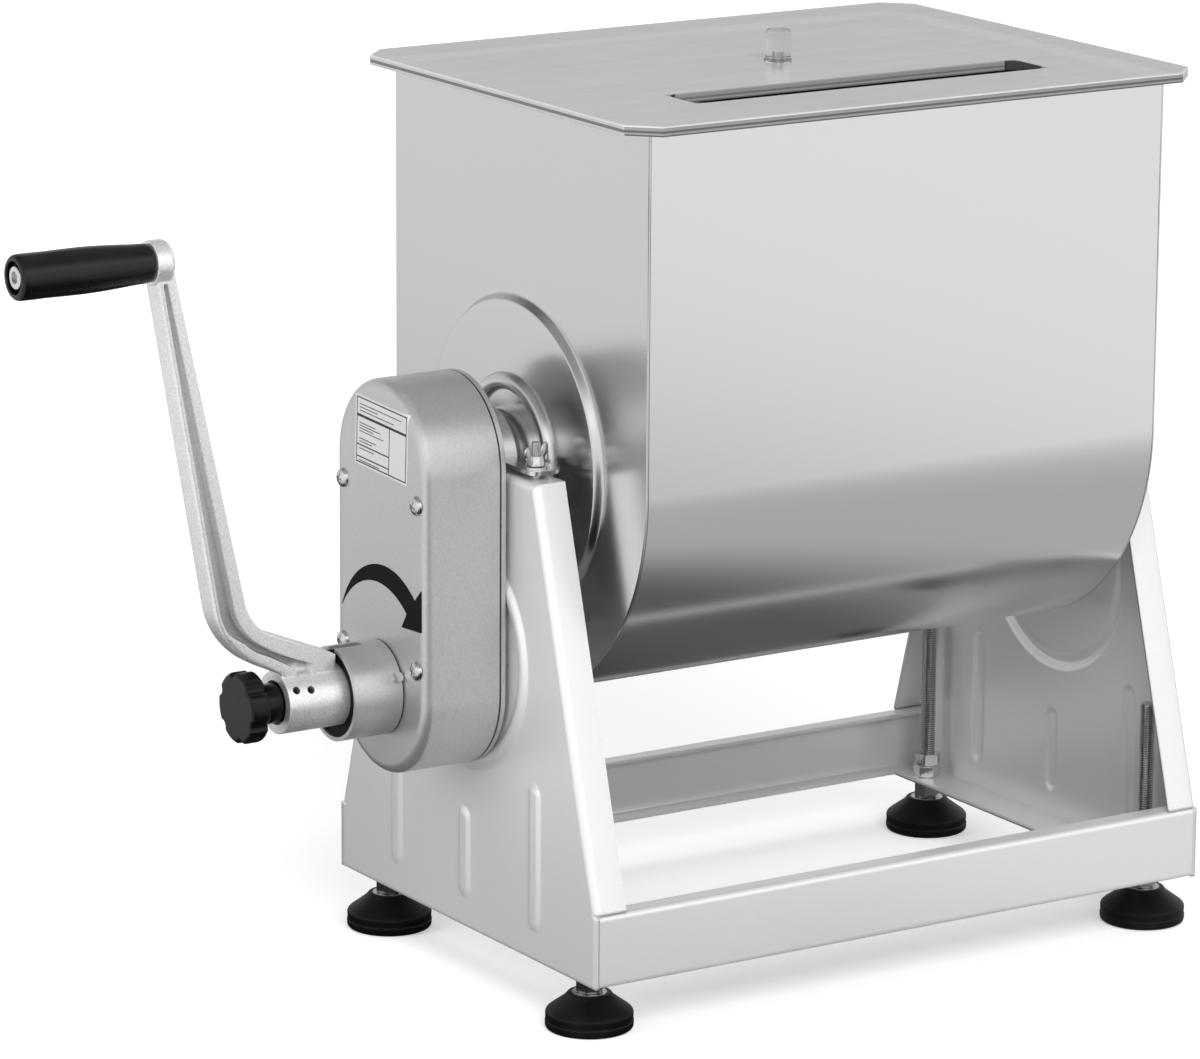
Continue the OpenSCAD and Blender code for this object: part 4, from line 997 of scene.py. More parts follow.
@dataclass
class Stand(Assembly):
    """Side plates, rails and cradles of the stand, pressed and folded from sheet."""

    outer_x: float = 185.7
    sheet: float = 2.0
    base_half: float = 125.4
    top_half: float = 66.3
    base_z: float = 28.2
    rail_top: float = 65.7
    top_z: float = 272.0
    fold_x: float = 168.0
    bend: float = 3.0
    rib_y: float = 67.5
    rib_low: float = 44.0
    rib_top: float = 119.0
    middle_rib_top: float = 91.0
    rib_half: float = 5.3
    rib_slope: float = 2.2
    rib_rise: float = 1.2
    ring_r: float = 56.5
    ring_z: float = 174.0
    ring_half: float = 4.5
    ring_slope: float = 3.4
    ring_rise: float = 2.0
    floor_flange: float = 24.0
    floor_half: float = 114.1
    cradle_r: float = 28.8
    notch_r: float = 11.5
    rail_depth: float = 11.0
    rear_rail_top: float = 62.7
    lean_stretch: float = 1.04
    rows: int = 149
    columns: int = 201

    def lean_start(self, share: Points) -> Points:
        """Where the edges start to lean in, from the front rail's top to the rear rail's."""
        return self.rail_top + (self.rear_rail_top - self.rail_top) * (share + 1) / 2

    def half_width(self, z: Points, share: Points) -> Points:
        """Half the plate's width at a height: straight at the base, then leaning in."""
        start = self.lean_start(share)
        rise = np.clip((z - start) / (self.top_z - start), 0, 1)
        return self.base_half + (self.top_half - self.base_half) * rise

    def pressing(self, y: Points, z: Points) -> Points:
        """How far the web stands out: three upright ribs and a ring."""
        rise = 0.0
        outer = self.rib_top
        for rib_y, top in ((self.rib_y, outer), (-self.rib_y, outer), (0.0, self.middle_rib_top)):
            near_z = np.clip(z, self.rib_low + self.rib_half, top - self.rib_half)
            distance = np.hypot(y - rib_y, z - near_z)
            rise = rise + self.rib_rise * pressed(distance, self.rib_half, self.rib_slope)
        ring = np.abs(np.hypot(y, z - self.ring_z) - self.ring_r)
        return rise + self.ring_rise * pressed(ring, self.ring_half, self.ring_slope)

    @staticmethod
    def _across(fold: Points, web: Points) -> Points:
        """Values along a row: those of the fold, of the web, and of the fold turned round."""
        return np.concatenate([fold, web, fold[::-1]])

    def plate(self, name: str, node: str, side: float) -> None:
        """One side plate: a folded sheet from floor flange to top flange.

        The web and its leaning folds are one line across the plate, carried up its
        height and drawn in as it narrows. Above the last bend no point of a row lies
        further out than the bend, so that the top closes against the folds. The
        pressed ribs and ring are added over the web, the middle columns stop at the
        shaft's notch, and the sheet gets its thickness at the end. Where the sides
        lean, half the thickness takes up a little more room along the row.

        Args:
            name: The piece's name.
            node: The construction node that it stands for.
            side: -1 at the crank, 1 at the far end.
        """
        mid = self.outer_x - self.sheet / 2
        bend_x = mid - self.bend
        lean = self.sheet / 2 * self.lean_stretch
        bend_top = self.top_z - self.sheet / 2 - self.bend
        fold = np.concatenate([[[self.fold_x, 0.0]], arc((bend_x, self.bend), self.bend, 270, 360, 5)])
        fold_x, fold_y = fold[:-1].T
        folds = len(fold_x)
        share = np.linspace(-1, 1, self.columns)
        row_share = np.pad(share, folds, mode="edge")
        top_y = (self.half_width(np.array(bend_top), share) - lean - self.bend) * share
        notch_z = SHAFT_Z - np.sqrt(np.clip(self.notch_r ** 2 - top_y ** 2, 0, None))
        end = self._across(np.full(folds, bend_top), np.minimum(bend_top, notch_z))
        start = self.lean_start(row_share)
        wall_z = start + (end - start) * np.linspace(0, 1, self.rows)[:, None]
        turn = arc((bend_x, bend_top), self.bend, 0, 90, 5)[1:]
        flat = [[bend_x - (bend_x - self.fold_x) * part, bend_top + self.bend] for part in (0.5, 1.0)]
        over = np.concatenate([turn, flat])
        z = np.concatenate([wall_z, np.repeat(over[:, 1:], len(end), axis=1)])
        limit = np.concatenate([np.full((self.rows, 1), np.inf), over[:, :1]])
        inset = self._across(fold_y, np.full(self.columns, self.bend))
        y = (self.half_width(z, row_share) - lean - inset) * row_share
        web_rise = self.pressing(y, z) * (np.abs(row_share) < 1)
        x = np.minimum(self._across(fold_x, np.full(self.columns, mid)) + web_rise, limit)
        middle_y = (y[:-1, :-1] + y[1:, 1:]) / 2
        is_top = np.arange(len(z) - 1)[:, None] >= self.rows - 1
        shell = Shell(name).sheet(joined(side * x, y, z), ~(is_top & (np.abs(middle_y) < self.cradle_r)))
        self._skirt(shell, side, mid, y[0, folds:-folds], z[0, folds:-folds])
        for sign in (-1.0, 1.0):
            ear_y = np.array([self.notch_r, self.cradle_r]) * sign
            ear = joined(side * mid, ear_y, np.array([[bend_top], [self.top_z]]))
            shell.sheet(ear if sign > 0 else ear[:, ::-1])
        if side > 0:
            shell.faces = [face[::-1] for face in shell.faces]
        obj = shell.mesh_object(merge=0.02)
        solid = obj.modifiers.new("sheet", "SOLIDIFY")
        solid.thickness = self.sheet * MM
        solid.offset = 0.0
        solid.use_even_offset = True
        self.settle(obj, STAND_PAINT, "stand", "stand_paint", [node])

    def _skirt(self, shell: Shell, side: float, mid: float, web_y: Points, web_z: Points) -> None:
        """Adds the straight foot of the web and the flange that stands on the feet."""
        y = np.pad(web_y, 1, constant_values=(-self.base_half, self.base_half))
        top = np.pad(web_z, 1, mode="edge")
        z = self.base_z + (top - self.base_z) * np.linspace(0, 1, 24)[:, None]
        shell.sheet(joined(side * (mid + self.pressing(y, z)), y, z))
        flange_x = np.array([self.outer_x - self.floor_flange, mid])
        flange_y = np.array([[-self.floor_half], [self.floor_half]])
        shell.sheet(joined(side * flange_x, flange_y, self.base_z + self.sheet / 2))

    def rail(self, name: str, node: str, side: float, high: float) -> None:
        """One channel rail with rounded bends, open towards the middle."""
        face, depth, t = self.base_half, self.rail_depth, self.sheet
        low = self.base_z
        corners = [(face, low), (face - depth, low), (face - depth, low + t), (face - t, low + t),
                   (face - t, high - t), (face - depth, high - t), (face - depth, high), (face, high)]
        section = fillet(corners, [3.2, 0.3, 0.3, 1.4, 1.4, 0.3, 0.3, 3.2], 6) * np.array([side, 1.0])
        half = self.outer_x - t
        shell = Shell(name).grid(extrude_x(section, -half, half, 12))
        self.settle(shell.mesh_object(), STAND_PAINT, "stand", "stand_paint", [node])

    def build(self) -> None:
        """Makes the stand's pieces and dresses those that stay."""
        self.plate("side_plate_left", "stand_plate_left", -1.0)
        self.plate("side_plate_right", "stand_plate_right", 1.0)
        self.rail("rail_front", "front_rail", -1.0, self.rail_top)
        self.rail("rail_rear", "rear_rail", 1.0, self.rear_rail_top)
        self.dress({"cradle_left": CRADLE_PAINT, "cradle_right": CRADLE_PAINT})


@dataclass
class Clamps(Assembly):
    """Straps over the necks, with their studs, washers and wing nuts."""

    stud_x: float = 176.0
    stud_y: float = 52.0
    stud_r: float = 2.5
    stud_low: float = 270.0
    stud_top: float = 290.0
    head_r: float = 4.5
    head_h: float = 3.0
    pitch: float = 0.8
    nut_z: float = 278.3
    wing_turn: float = 25.0

    def studs(self) -> None:
        """Four threaded studs with round heads under the folded top."""
        shell = Shell("threaded_studs")
        for sx in (-1, 1):
            for sy in (-1, 1):
                centre = (sx * self.stud_x, sy * self.stud_y)
                shell.grid(thread(self.stud_r, self.pitch, self.stud_low - 0.4, self.stud_top, centre, 20))
                head = fillet([(0, 0.3), (0, self.head_r), (self.head_h, self.head_r), (self.head_h, 0.3)],
                              [0, 0.8, 0.2, 0], 4, closed=False)
                shell.grid(revolve(head, (*centre, self.stud_low - self.head_h), "z", 32))
        self.settle(shell.mesh_object(), BRIGHT_ZINC, "stand", "zinc_steel", ["clamp_studs"])

    def wing_nut(self, corner: str, sx: float, sy: float) -> None:
        """One wing nut: a waisted boss and two leaning oval wings."""
        centre = np.array([sx * self.stud_x, sy * self.stud_y, self.nut_z])
        boss = fillet([(0, 2.6), (0, 4.8), (1.6, 4.6), (4.0, 3.9), (5.2, 3.7), (5.2, 2.6)],
                      [0, 0.5, 0.6, 0.5, 0.4, 0], 4, closed=False)
        shell = Shell("butterfly_" + corner).grid(revolve(boss, centre, "z", 40), close_rows=True)
        for turn in (0, 180):
            wing = ball((7.2, 0.0, 6.6), (2.9, 1.0, 4.1), self.wing_turn + turn, 24.0)
            root = ball((4.6, 0.0, 2.9), (2.6, 1.1, 2.6), self.wing_turn + turn, 40.0)
            shell.grid(wing + centre).grid(root + centre)
        body = "wing_nut_" + corner
        self.settle(shell.mesh_object(), BRIGHT_ZINC, body, "zinc_steel", [body])

    def build(self) -> None:
        """Makes the clamps' pieces and dresses those that stay."""
        self.studs()
        for corner, sx, sy in CORNERS:
            self.wing_nut(corner, sx, sy)
        self.dress({"strap_left": ZINC, "strap_right": ZINC, "clamp_washers": ZINC})


@dataclass
class Feet(Assembly):
    """Rubber pads on threaded stems, held by two nuts each."""

    foot_x: float = 172.4
    foot_y: float = 98.4
    pad_r: float = 22.3
    pad_h: float = 18.3
    stem_r: float = 4.0
    stem_top: float = 118.0
    pitch: float = 1.25
    hex_corner: float = 7.0
    hex_top: float = 27.9
    hex_turn: float = 12.0
    ring_r: float = 8.85
    ring_low: float = 17.5
    ring_top: float = 18.4
    nut_corner: float = 7.4
    nut_h: float = 6.5
    nut_gap: float = 0.2
    flange_top: float = 30.2
    stem_turn: float = 17.0
    nut_turn: float = 22.0

    def pad(self, corner: str, centre: tuple[float, float]) -> None:
        """One pad: a skirt with a faint ridge and a hollowed cone up to the ring."""
        profile = fillet([(0, 0.3), (0, 21.4), (1.2, 22.2), (4.0, self.pad_r), (4.5, 21.95), (8.3, 22.2),
                          (9.6, 21.3), (13.0, 16.6), (16.2, 12.4), (self.pad_h, 10.9), (self.pad_h, 8.95),
                          (self.ring_low, 8.9), (self.ring_low, 0.3)],
                         [0, 0.8, 0.6, 0.3, 0.3, 1.0, 1.4, 1.6, 1.2, 0.7, 0.2, 0.2, 0], 5, closed=False)
        shell = Shell("pad_" + corner).grid(revolve(profile, (*centre, 0), "z", 72))
        self.settle(shell.mesh_object(), PAD_RUBBER, "foot_" + corner, "rubber", ["foot_pad_" + corner])

    def stem(self, corner: str, centre: tuple[float, float]) -> None:
        """One stem: the ring on the pad, the hexagon over it and the threaded rod."""
        shell = Shell("stem_" + corner)
        ring = fillet([(self.ring_low, 0.3), (self.ring_low, self.ring_r), (self.ring_top, self.ring_r),
                       (self.ring_top, 0.3)], [0, 0.2, 0.3, 0], 3, closed=False)
        shell.grid(revolve(ring, (*centre, 0), "z", 48))
        shell.grid(hexagon(self.hex_corner, self.ring_top - 0.1, self.hex_top, centre, self.hex_turn, 0.3))
        shell.grid(thread(self.stem_r, self.pitch, self.hex_top - 0.5, self.stem_top, centre))
        self.settle(shell.mesh_object(), SHADED_STEM_ZINC, "foot_" + corner, "zinc_steel", ["foot_stem_" + corner])

    def nuts(self) -> None:
        """Two chamfered nuts on each stem, each pair turned a little differently."""
        shell = Shell("stem_nuts")
        for stem, (_, sx, sy) in enumerate(CORNERS):
            centre = (sx * self.foot_x, sy * self.foot_y)
            for level in range(2):
                low = self.flange_top + level * (self.nut_h + self.nut_gap)
                turn = self.stem_turn * stem + self.nut_turn * level
                nut = hexagon(self.nut_corner, low, low + self.nut_h, centre, turn, self.stem_r + 0.05)
                shell.grid(nut, close_rows=True)
        self.settle(shell.mesh_object(), ZINC, "stand", "zinc_steel", ["foot_nuts"])

    def build(self) -> None:
        """Makes the feet."""
        for corner, sx, sy in CORNERS:
            centre = (sx * self.foot_x, sy * self.foot_y)
            self.pad(corner, centre)
            self.stem(corner, centre)
        self.nuts()


@dataclass
class Gearbox(Assembly):
    """Cover and films of the gearbox, with the finish of its plates, screws and gears."""

    half_width: float = 43.5
    upper_z: float = SHAFT_Z + 3.0
    lower_z: float = CRANK_Z - 1.0
    back_x: float = 190.7
    depth: float = 44.3
    wall: float = 1.5
    edge_r: float = 5.0
    film_t: float = 0.3
    film_sink: float = 0.02

    def ring(self, inset: float, depth: float) -> Points:
        """One ring of the cover: two half circles joined by straight sides."""
        r = self.half_width - inset
        upper = arc((0, self.upper_z), r, 0, 180, 40)
        lower = arc((0, self.lower_z), r, 180, 360, 40)
        line = np.concatenate([upper, lower])
        return joined(-(self.back_x + depth), line[:, 0], line[:, 1])

    def cover(self) -> None:
        """The cover: its outline carried out to a rounded edge, and back inside."""
        turn = np.radians(np.linspace(0, 90, 9))
        outside = [(0.0, 0.3), (0.0, 10.0), (0.0, 25.0)]
        outside += [(self.edge_r * (1 - math.cos(a)), self.depth - self.edge_r * (1 - math.sin(a)))
                    for a in turn]
        outside += [(9.0, self.depth), (16.0, self.depth)]
        inside = [(16.0, self.depth - self.wall), (self.edge_r + self.wall, self.depth - self.wall),
                  (self.wall, self.depth - self.edge_r), (self.wall, 0.0), (0.3, 0.0)]
        rows = np.stack([self.ring(inset, depth) for inset, depth in outside])
        back = np.stack([self.ring(inset, depth) for inset, depth in inside])
        shell = Shell("cover_shell").grid(np.concatenate([rows, back]), caps=False)
        count = rows.shape[1]
        last_outer = len(outside) - 1
        first_inner = len(outside)
        total = rows.shape[0] + back.shape[0]
        quads = [f for f in shell.faces if not self._spans(f, count, last_outer, first_inner)]
        face = list(range(last_outer * count, (last_outer + 1) * count))
        inner = list(range(first_inner * count, (first_inner + 1) * count))
        shell.faces = quads + [face, inner[::-1]]
        shell.faces += [[(total - 1) * count + i, (total - 1) * count + (i + 1) % count,
                         (i + 1) % count, i] for i in range(count)]
        obj = shell.mesh_object()
        point_outwards(obj)
        self.settle(obj, GEARBOX_PAINT, "stand", "gearbox_paint", ["gearbox_cover"])

    def film(self) -> None:
        """The rating plate: a turned film that follows the rounded edge of the cover.

        Each point takes its place in the film, turned about the film's centre. Where it
        lies outside the flat face, it drops by the depth of the rounded edge there.
        """
        u, v = np.meshgrid(np.linspace(-PLATE_FILM.half_y, PLATE_FILM.half_y, 41),
                           np.linspace(-PLATE_FILM.half_z, PLATE_FILM.half_z, 31))
        cosine, sine = math.cos(PLATE_FILM.turn), math.sin(PLATE_FILM.turn)
        y = PLATE_FILM.centre_y + u * cosine - v * sine
        z = PLATE_FILM.centre_z + u * sine + v * cosine
        from_centre = np.hypot(y, np.clip(z - self.upper_z, 0, None))
        over = np.clip(from_centre - (self.half_width - self.edge_r), 0, self.edge_r - 0.1)
        drop = self.edge_r - np.sqrt(self.edge_r ** 2 - over ** 2)
        face_x = -(self.back_x + self.depth) + drop
        front = joined(face_x - self.film_t, y, z)
        back = joined(face_x + self.film_sink, y, z)
        shell = Shell("plate_sheet").sheet(front).sheet(back[:, ::-1])
        whole, turned = slice(None), slice(None, None, -1)
        round_edge = [(0, whole), (whole, -1), (-1, turned), (turned, 0)]
        rim = np.stack([np.concatenate([sheet[at] for at in round_edge]) for sheet in (back, front)])
        shell.sheet(rim)
        obj = shell.mesh_object(merge=0.005)
        point_outwards(obj)
        self.settle(obj, PLATE_FILM, "stand", "label", ["rating_plate"])

    @staticmethod
    def _spans(face: list[int], count: int, low: int, high: int) -> bool:
        """Whether a face joins the last outer ring to the first inner ring."""
        rows = {i // count for i in face}
        return rows == {low, high}

    def build(self) -> None:
        """Makes the cover and dresses the pieces that stay."""
        self.cover()
        self.film()
        self.dress({
            "gearbox_back_plate": GEARBOX_PAINT, "gearbox_screws": BRIGHT_ZINC,
            "gearbox_posts": GEAR_STEEL, "gearbox_fixings": ZINC, "crank_collar": GEARBOX_PAINT,
            "collar_liner": BLACK_LINER, "collar_screw": BRIGHT_ZINC, "input_bush": BRONZE,
            "idler_axle": GEAR_STEEL, "direction_arrow": BLACK_PRINT,
            "pinion": GEAR_STEEL, "idler_gear": GEAR_STEEL, "drive_gear": GEAR_STEEL,
            "input_shaft": GEAR_STEEL})


def point_outwards(obj: bpy.types.Object) -> None:
    """Turns the faces of a closed mesh so that they point outwards."""
    work = bmesh.new()
    work.from_mesh(obj.data)
    bmesh.ops.recalc_face_normals(work, faces=work.faces)
    work.to_mesh(obj.data)
    work.free()


@dataclass
class Crank(Assembly):
    """Cast crank arm, its grip on a spindle and the lobed knob that holds it."""

    thickness: float = 14.6
    pocket: float = 5.2
    front_flange: float = 2.6
    rear_flange: float = 6.9
    knee: tuple[float, float] = (-290.2, 222.2)
    knee_low: float = 242.0
    knee_out_r: float = 43.0
    knee_out_top: float = 189.1
    knee_in_r: float = 26.0
    knee_in_top: float = 191.0
    foot_z: float = 173.2
    hub_r: float = 15.9
    hub_len: float = 55.5
    eye_r: float = 11.0
    eye_len: float = 10.0
    eye_x: float = 363.3
    bore_r: float = 8.05
    recess_r: float = 11.2
    recess: float = 4.0
    eye_bore_r: float = 4.15
    grub_r: float = 2.0
    grub_holes: tuple[tuple[float, float], ...] = ((-290.5, 33.0), (-282.5, 30.0))
    # Painted shade on the pocket floors: heights, and how dark it is at each
    recess_shade_z: tuple[float, ...] = (195.0, 235.0, 300.0)
    recess_shade_tone: tuple[float, ...] = (0.6, 0.4, 0.2)
    pocket_z: tuple[float, float] = (180.0, 379.0)
    grip_z: float = 390.0
    grip_root_x: float = 363.6
    grip_len: float = 72.0
    grip_profile: tuple[tuple[float, float], ...] = (
        (0.0, 8.6), (0.6, 9.5), (3.0, 9.75), (8.0, 9.9), (16.0, 10.5), (26.0, 11.1), (36.0, 11.4),
        (46.0, 11.35), (56.0, 11.2), (64.0, 11.3), (69.0, 11.3), (70.8, 11.0), (71.7, 10.2), (72.0, 9.2))
    rod_r: float = 4.0
    rod_start: float = -10.25
    bolt_head_r: float = 5.8
    socket_r: float = 2.9
    socket_depth: float = 2.2
    hub_end_x: float = 295.5
    head_x: float = 307.3
    head_len: float = 10.2
    lobe_r: float = 18.0
    lobe_turn: float = -10.0
    notch_r: float = 3.6
    notch_at: float = 19.8
    lobes: int = 6
    lobe_blend: float = 0.4
    knob_stem_r: float = 10.1

    def _edge(self, radius: float, knee_top: float, root_x: float, foot: Sequence[float],
              top_x: float) -> Points:
        """One edge of the arm: it rises from the hub, rounds the knee and runs straight up.

        Args:
            radius: Radius of the edge's arc round the knee.
            knee_top: Degrees at which the arc ends.
            root_x: Where the edge starts, inside the hub.
            foot: Where its straight run to the knee starts.
            top_x: Where it ends, inside the eye.

        Returns:
            The points of the edge, as X and Z.
        """
        knee = arc(self.knee, radius, self.knee_low, knee_top, 16)
        share = np.linspace(0, 1, 6)[1:, None]
        up = np.concatenate([np.linspace(0, 0.934, 20)[1:], [0.937, 0.944, 1.0]])[:, None]
        start, end = np.asarray(foot), np.array([top_x, self.grip_z])
        return np.concatenate([[[root_x, self.foot_z]], [start], start + (knee[0] - start) * share,
                               knee[1:], knee[-1] + (end - knee[-1]) * up])

    def edges(self) -> tuple[Points, Points, Points]:
        """The arm's edges from the hub to the eye, seen from the side.

        The pocket opens past the hub and closes before the eye, where the flanges get
        slimmer too.

        Returns:
            Front edge points, rear edge points, and for each the front flange, the rear
            flange and the depth of the pocket.
        """
        front = self._edge(self.knee_out_r, self.knee_out_top, -295.3, (-295.4, 177.2), 0.2 - self.eye_x)
        rear = self._edge(self.knee_in_r, self.knee_in_top, -264.8, (-264.6, 183.7), -353.6)
        last = len(front) - 1
        knots = [0, 1, 6, 11, 16, last - 2, last - 1, last]
        slim = (self.front_flange - 0.2, self.rear_flange - 1.7)
        sizes = np.array([(8.5, 14.0, self.pocket), (8.5, 14.0, self.pocket), (6.0, 7.0, self.pocket),
                          (6.0, 7.0, self.pocket), (self.front_flange, self.rear_flange, self.pocket),
                          (*slim, self.pocket), (*slim, 0.05), (*slim, 0.05)])
        at = np.arange(len(front))
        return front, rear, np.stack([np.interp(at, knots, column) for column in sizes.T], axis=1)

    def section(self, width: float, front: float, rear: float, pocket: float) -> Points:
        """An I shaped section: round front corners, and a pocket in each side.

        Args:
            width: Distance from the front edge to the rear edge.
            front: Thickness of the front flange.
            rear: Thickness of the rear flange.
            pocket: Depth of each pocket.

        Returns:
            Points of distance from the front edge and Y.
        """
        half = self.thickness / 2
        opening = max(width - front - rear, 0.4)
        rear = width - front - opening
        draft = min(0.4, opening * 0.2)
        side = np.array([(0, half), (front, half), (front + draft, half - pocket),
                         (front + opening - draft, half - pocket), (front + opening, half), (width, half)])
        radii = [2.4, 0.5, 0.8, 0.8, 0.5, 0.9]
        corners = np.concatenate([side * [1, -1], side[::-1]])
        return fillet(corners, radii + radii[::-1], 4)

    def arm_grid(self) -> Points:
        """The arm's surface: its section laid between the edges, station by station."""
        front, rear, sizes = self.edges()
        across = rear - front
        width = np.linalg.norm(across, axis=1)
        sections = np.stack([self.section(w, *size) for w, size in zip(width, sizes)])
        flat = front[:, None] + sections[:, :, :1] * (across / width[:, None])[:, None]
        return joined(flat[:, :, 0], sections[:, :, 1], flat[:, :, 1])

    def cutters(self) -> bpy.types.Object:
        """The bores of hub and eye, the recess in the hub and the two small grub holes."""
        hub, eye = (-self.hub_end_x, 0, CRANK_Z), (-self.eye_x, 0, self.grip_z)
        shell = Shell("arm_bores")
        shell.grid(revolve([(-2, self.bore_r), (self.hub_len + 2, self.bore_r)], hub, "x", 48))
        shell.grid(revolve([(-2, self.recess_r), (self.recess, self.recess_r)], hub, "x", 64))
        shell.grid(revolve([(-2, self.eye_bore_r), (self.eye_len + 2, self.eye_bore_r)], eye, "x", 48))
        hole = revolve([(9.5, self.grub_r), (18.0, self.grub_r)], (0, 0, 0), "z", 32)
        along, aside, out = np.moveaxis(hole, -1, 0)
        for x, angle in self.grub_holes:
            sine, cosine = math.sin(math.radians(angle)), math.cos(math.radians(angle))
            shell.grid(joined(x + along, aside * sine - out * cosine, CRANK_Z + out * sine + aside * cosine))
        return shell.mesh_object()

    def mark_recess_shade(self, mesh: bpy.types.Mesh) -> None:
        """Stores how much painted shade each point gets.

        It is 1 in the grub holes. On the pocket floors it falls with the height, as the
        pocket gets deeper for its width towards the hub. Elsewhere it is 0.

        Args:
            mesh: The arm's mesh with its bores cut.
        """
        flat = np.empty(len(mesh.vertices) * 3, np.float32)
        mesh.vertices.foreach_get("co", flat)
        x, y, z = (flat.reshape(-1, 3) / MM).T
        low, high = self.pocket_z
        in_pocket = (np.abs(y) < self.thickness / 2 - self.pocket + 0.7) & (z > low) & (z < high)
        recess_shade = np.interp(z, self.recess_shade_z, self.recess_shade_tone) * in_pocket
        for hole_x, angle in self.grub_holes:
            sine, cosine = math.sin(math.radians(angle)), math.cos(math.radians(angle))
            out = (z - CRANK_Z) * sine - y * cosine
            aside = y * sine + (z - CRANK_Z) * cosine
            in_hole = (np.hypot(x - hole_x, aside) < self.grub_r + 0.2) & (out > 7) & (out < self.hub_r - 0.5)
            recess_shade = np.where(in_hole, 1.0, recess_shade)
        layer = mesh.attributes.new("recess_shade", "FLOAT", "POINT")
        layer.data.foreach_set("value", recess_shade.astype(np.float32))

    def arm(self) -> None:
        """The arm: its swept body, the hub and the eye as one casting with its bores cut."""
        hub = fillet([(0, 6.0), (0, self.hub_r), (self.hub_len, self.hub_r), (self.hub_len, 6.0)],
                     [0, 0.6, 0.6, 0], 4, closed=False)
        eye = fillet([(0, 3.0), (0, self.eye_r), (self.eye_len, self.eye_r), (self.eye_len, 3.0)],
                     [0, 0.8, 3.4, 0], 6, closed=False)
        shell = Shell("cast_arm").grid(self.arm_grid())
        shell.grid(revolve(hub, (-self.hub_end_x, 0, CRANK_Z), "x", 96))
        shell.grid(revolve(eye, (-self.eye_x, 0, self.grip_z), "x", 72))
        obj = shell.mesh_object()
        cutters = self.cutters()
        cut = obj.modifiers.new("bores", "BOOLEAN")
        cut.object = cutters
        cut.operation = "DIFFERENCE"
        cut.solver = "EXACT"
        cut.use_self = True
        depsgraph = bpy.context.evaluated_depsgraph_get()
        made = bpy.data.meshes.new_from_object(obj.evaluated_get(depsgraph))
        obj.modifiers.clear()
        obj.data = made
        bpy.data.objects.remove(cutters)
        made.shade_smooth()
        made.set_sharp_from_angle(angle=math.radians(32))
        self.mark_recess_shade(made)
        self.settle(obj, CRANK_METAL, "crank", "crank_casting", ["crank_arm"])

    def grip(self) -> None:
        """The grip: a slim root that swells, narrows a little and ends in a rounded rim."""
        length = self.grip_len
        along, radius = np.array(self.grip_profile).T
        fine = np.linspace(0, 1, 60)
        where = np.interp(fine, np.linspace(0, 1, len(along)), along)
        body = np.column_stack([where, np.interp(where, along, radius)])
        kernel = np.array([1, 2, 1]) / 4
        body[1:-1, 1] = np.convolve(body[:, 1], kernel, mode="valid")
        dish = fillet([(length, 8.2), (length - 0.6, 7.9), (length - 4.0, 7.7), (length - 4.0, 4.05),
                       (0.0, 4.05)], [0.3, 0.3, 0.6, 0, 0], 4, closed=False)
        profile = np.concatenate([body, dish])
        shell = Shell("grip_moulding")
        shell.grid(revolve(profile, (-self.grip_root_x, 0, self.grip_z), "-x", 64), close_rows=True)
        self.settle(shell.mesh_object(), BLACK_PLASTIC, "grip", "black_plastic", ["grip"])

    def spindle(self) -> None:
        """The spindle: a plain rod and a round head with a hexagon socket in its face."""
        face = self.grip_len - 0.5
        head_low = self.grip_len - 3.7
        origin = (-self.grip_root_x, 0, self.grip_z)
        shell = Shell("grip_bolt")
        start, end, r = self.rod_start, head_low + 0.2, self.rod_r
        rod = [(start, 0.3), (start, r - 0.4), (start + 0.4, r), (end, r), (end, 0.3)]
        shell.grid(revolve(rod, origin, "-x", 40))
        head = fillet([(head_low, 0.3), (head_low, self.bolt_head_r), (face, self.bolt_head_r), (face, 3.5)],
                      [0, 0.3, 0.9, 0], 4, closed=False)
        rows = revolve(head, origin, "-x", 72)
        angle = np.arange(72) * TAU / 72
        hexagonal = self.socket_r / np.cos((angle + math.pi / 6) % (math.pi / 3) - math.pi / 6)
        depth = face - np.array([[0.0], [self.socket_depth], [self.socket_depth + 0.1]])
        reach = hexagonal * np.array([[1.0], [1.0], [0.1]])
        socket = joined(-(self.grip_root_x + depth), reach * np.cos(angle),
                        self.grip_z + reach * np.sin(angle))
        shell.grid(np.concatenate([rows, socket]))
        self.settle(shell.mesh_object(), BRIGHT_ZINC, "crank", "zinc_steel", ["grip_spindle"])

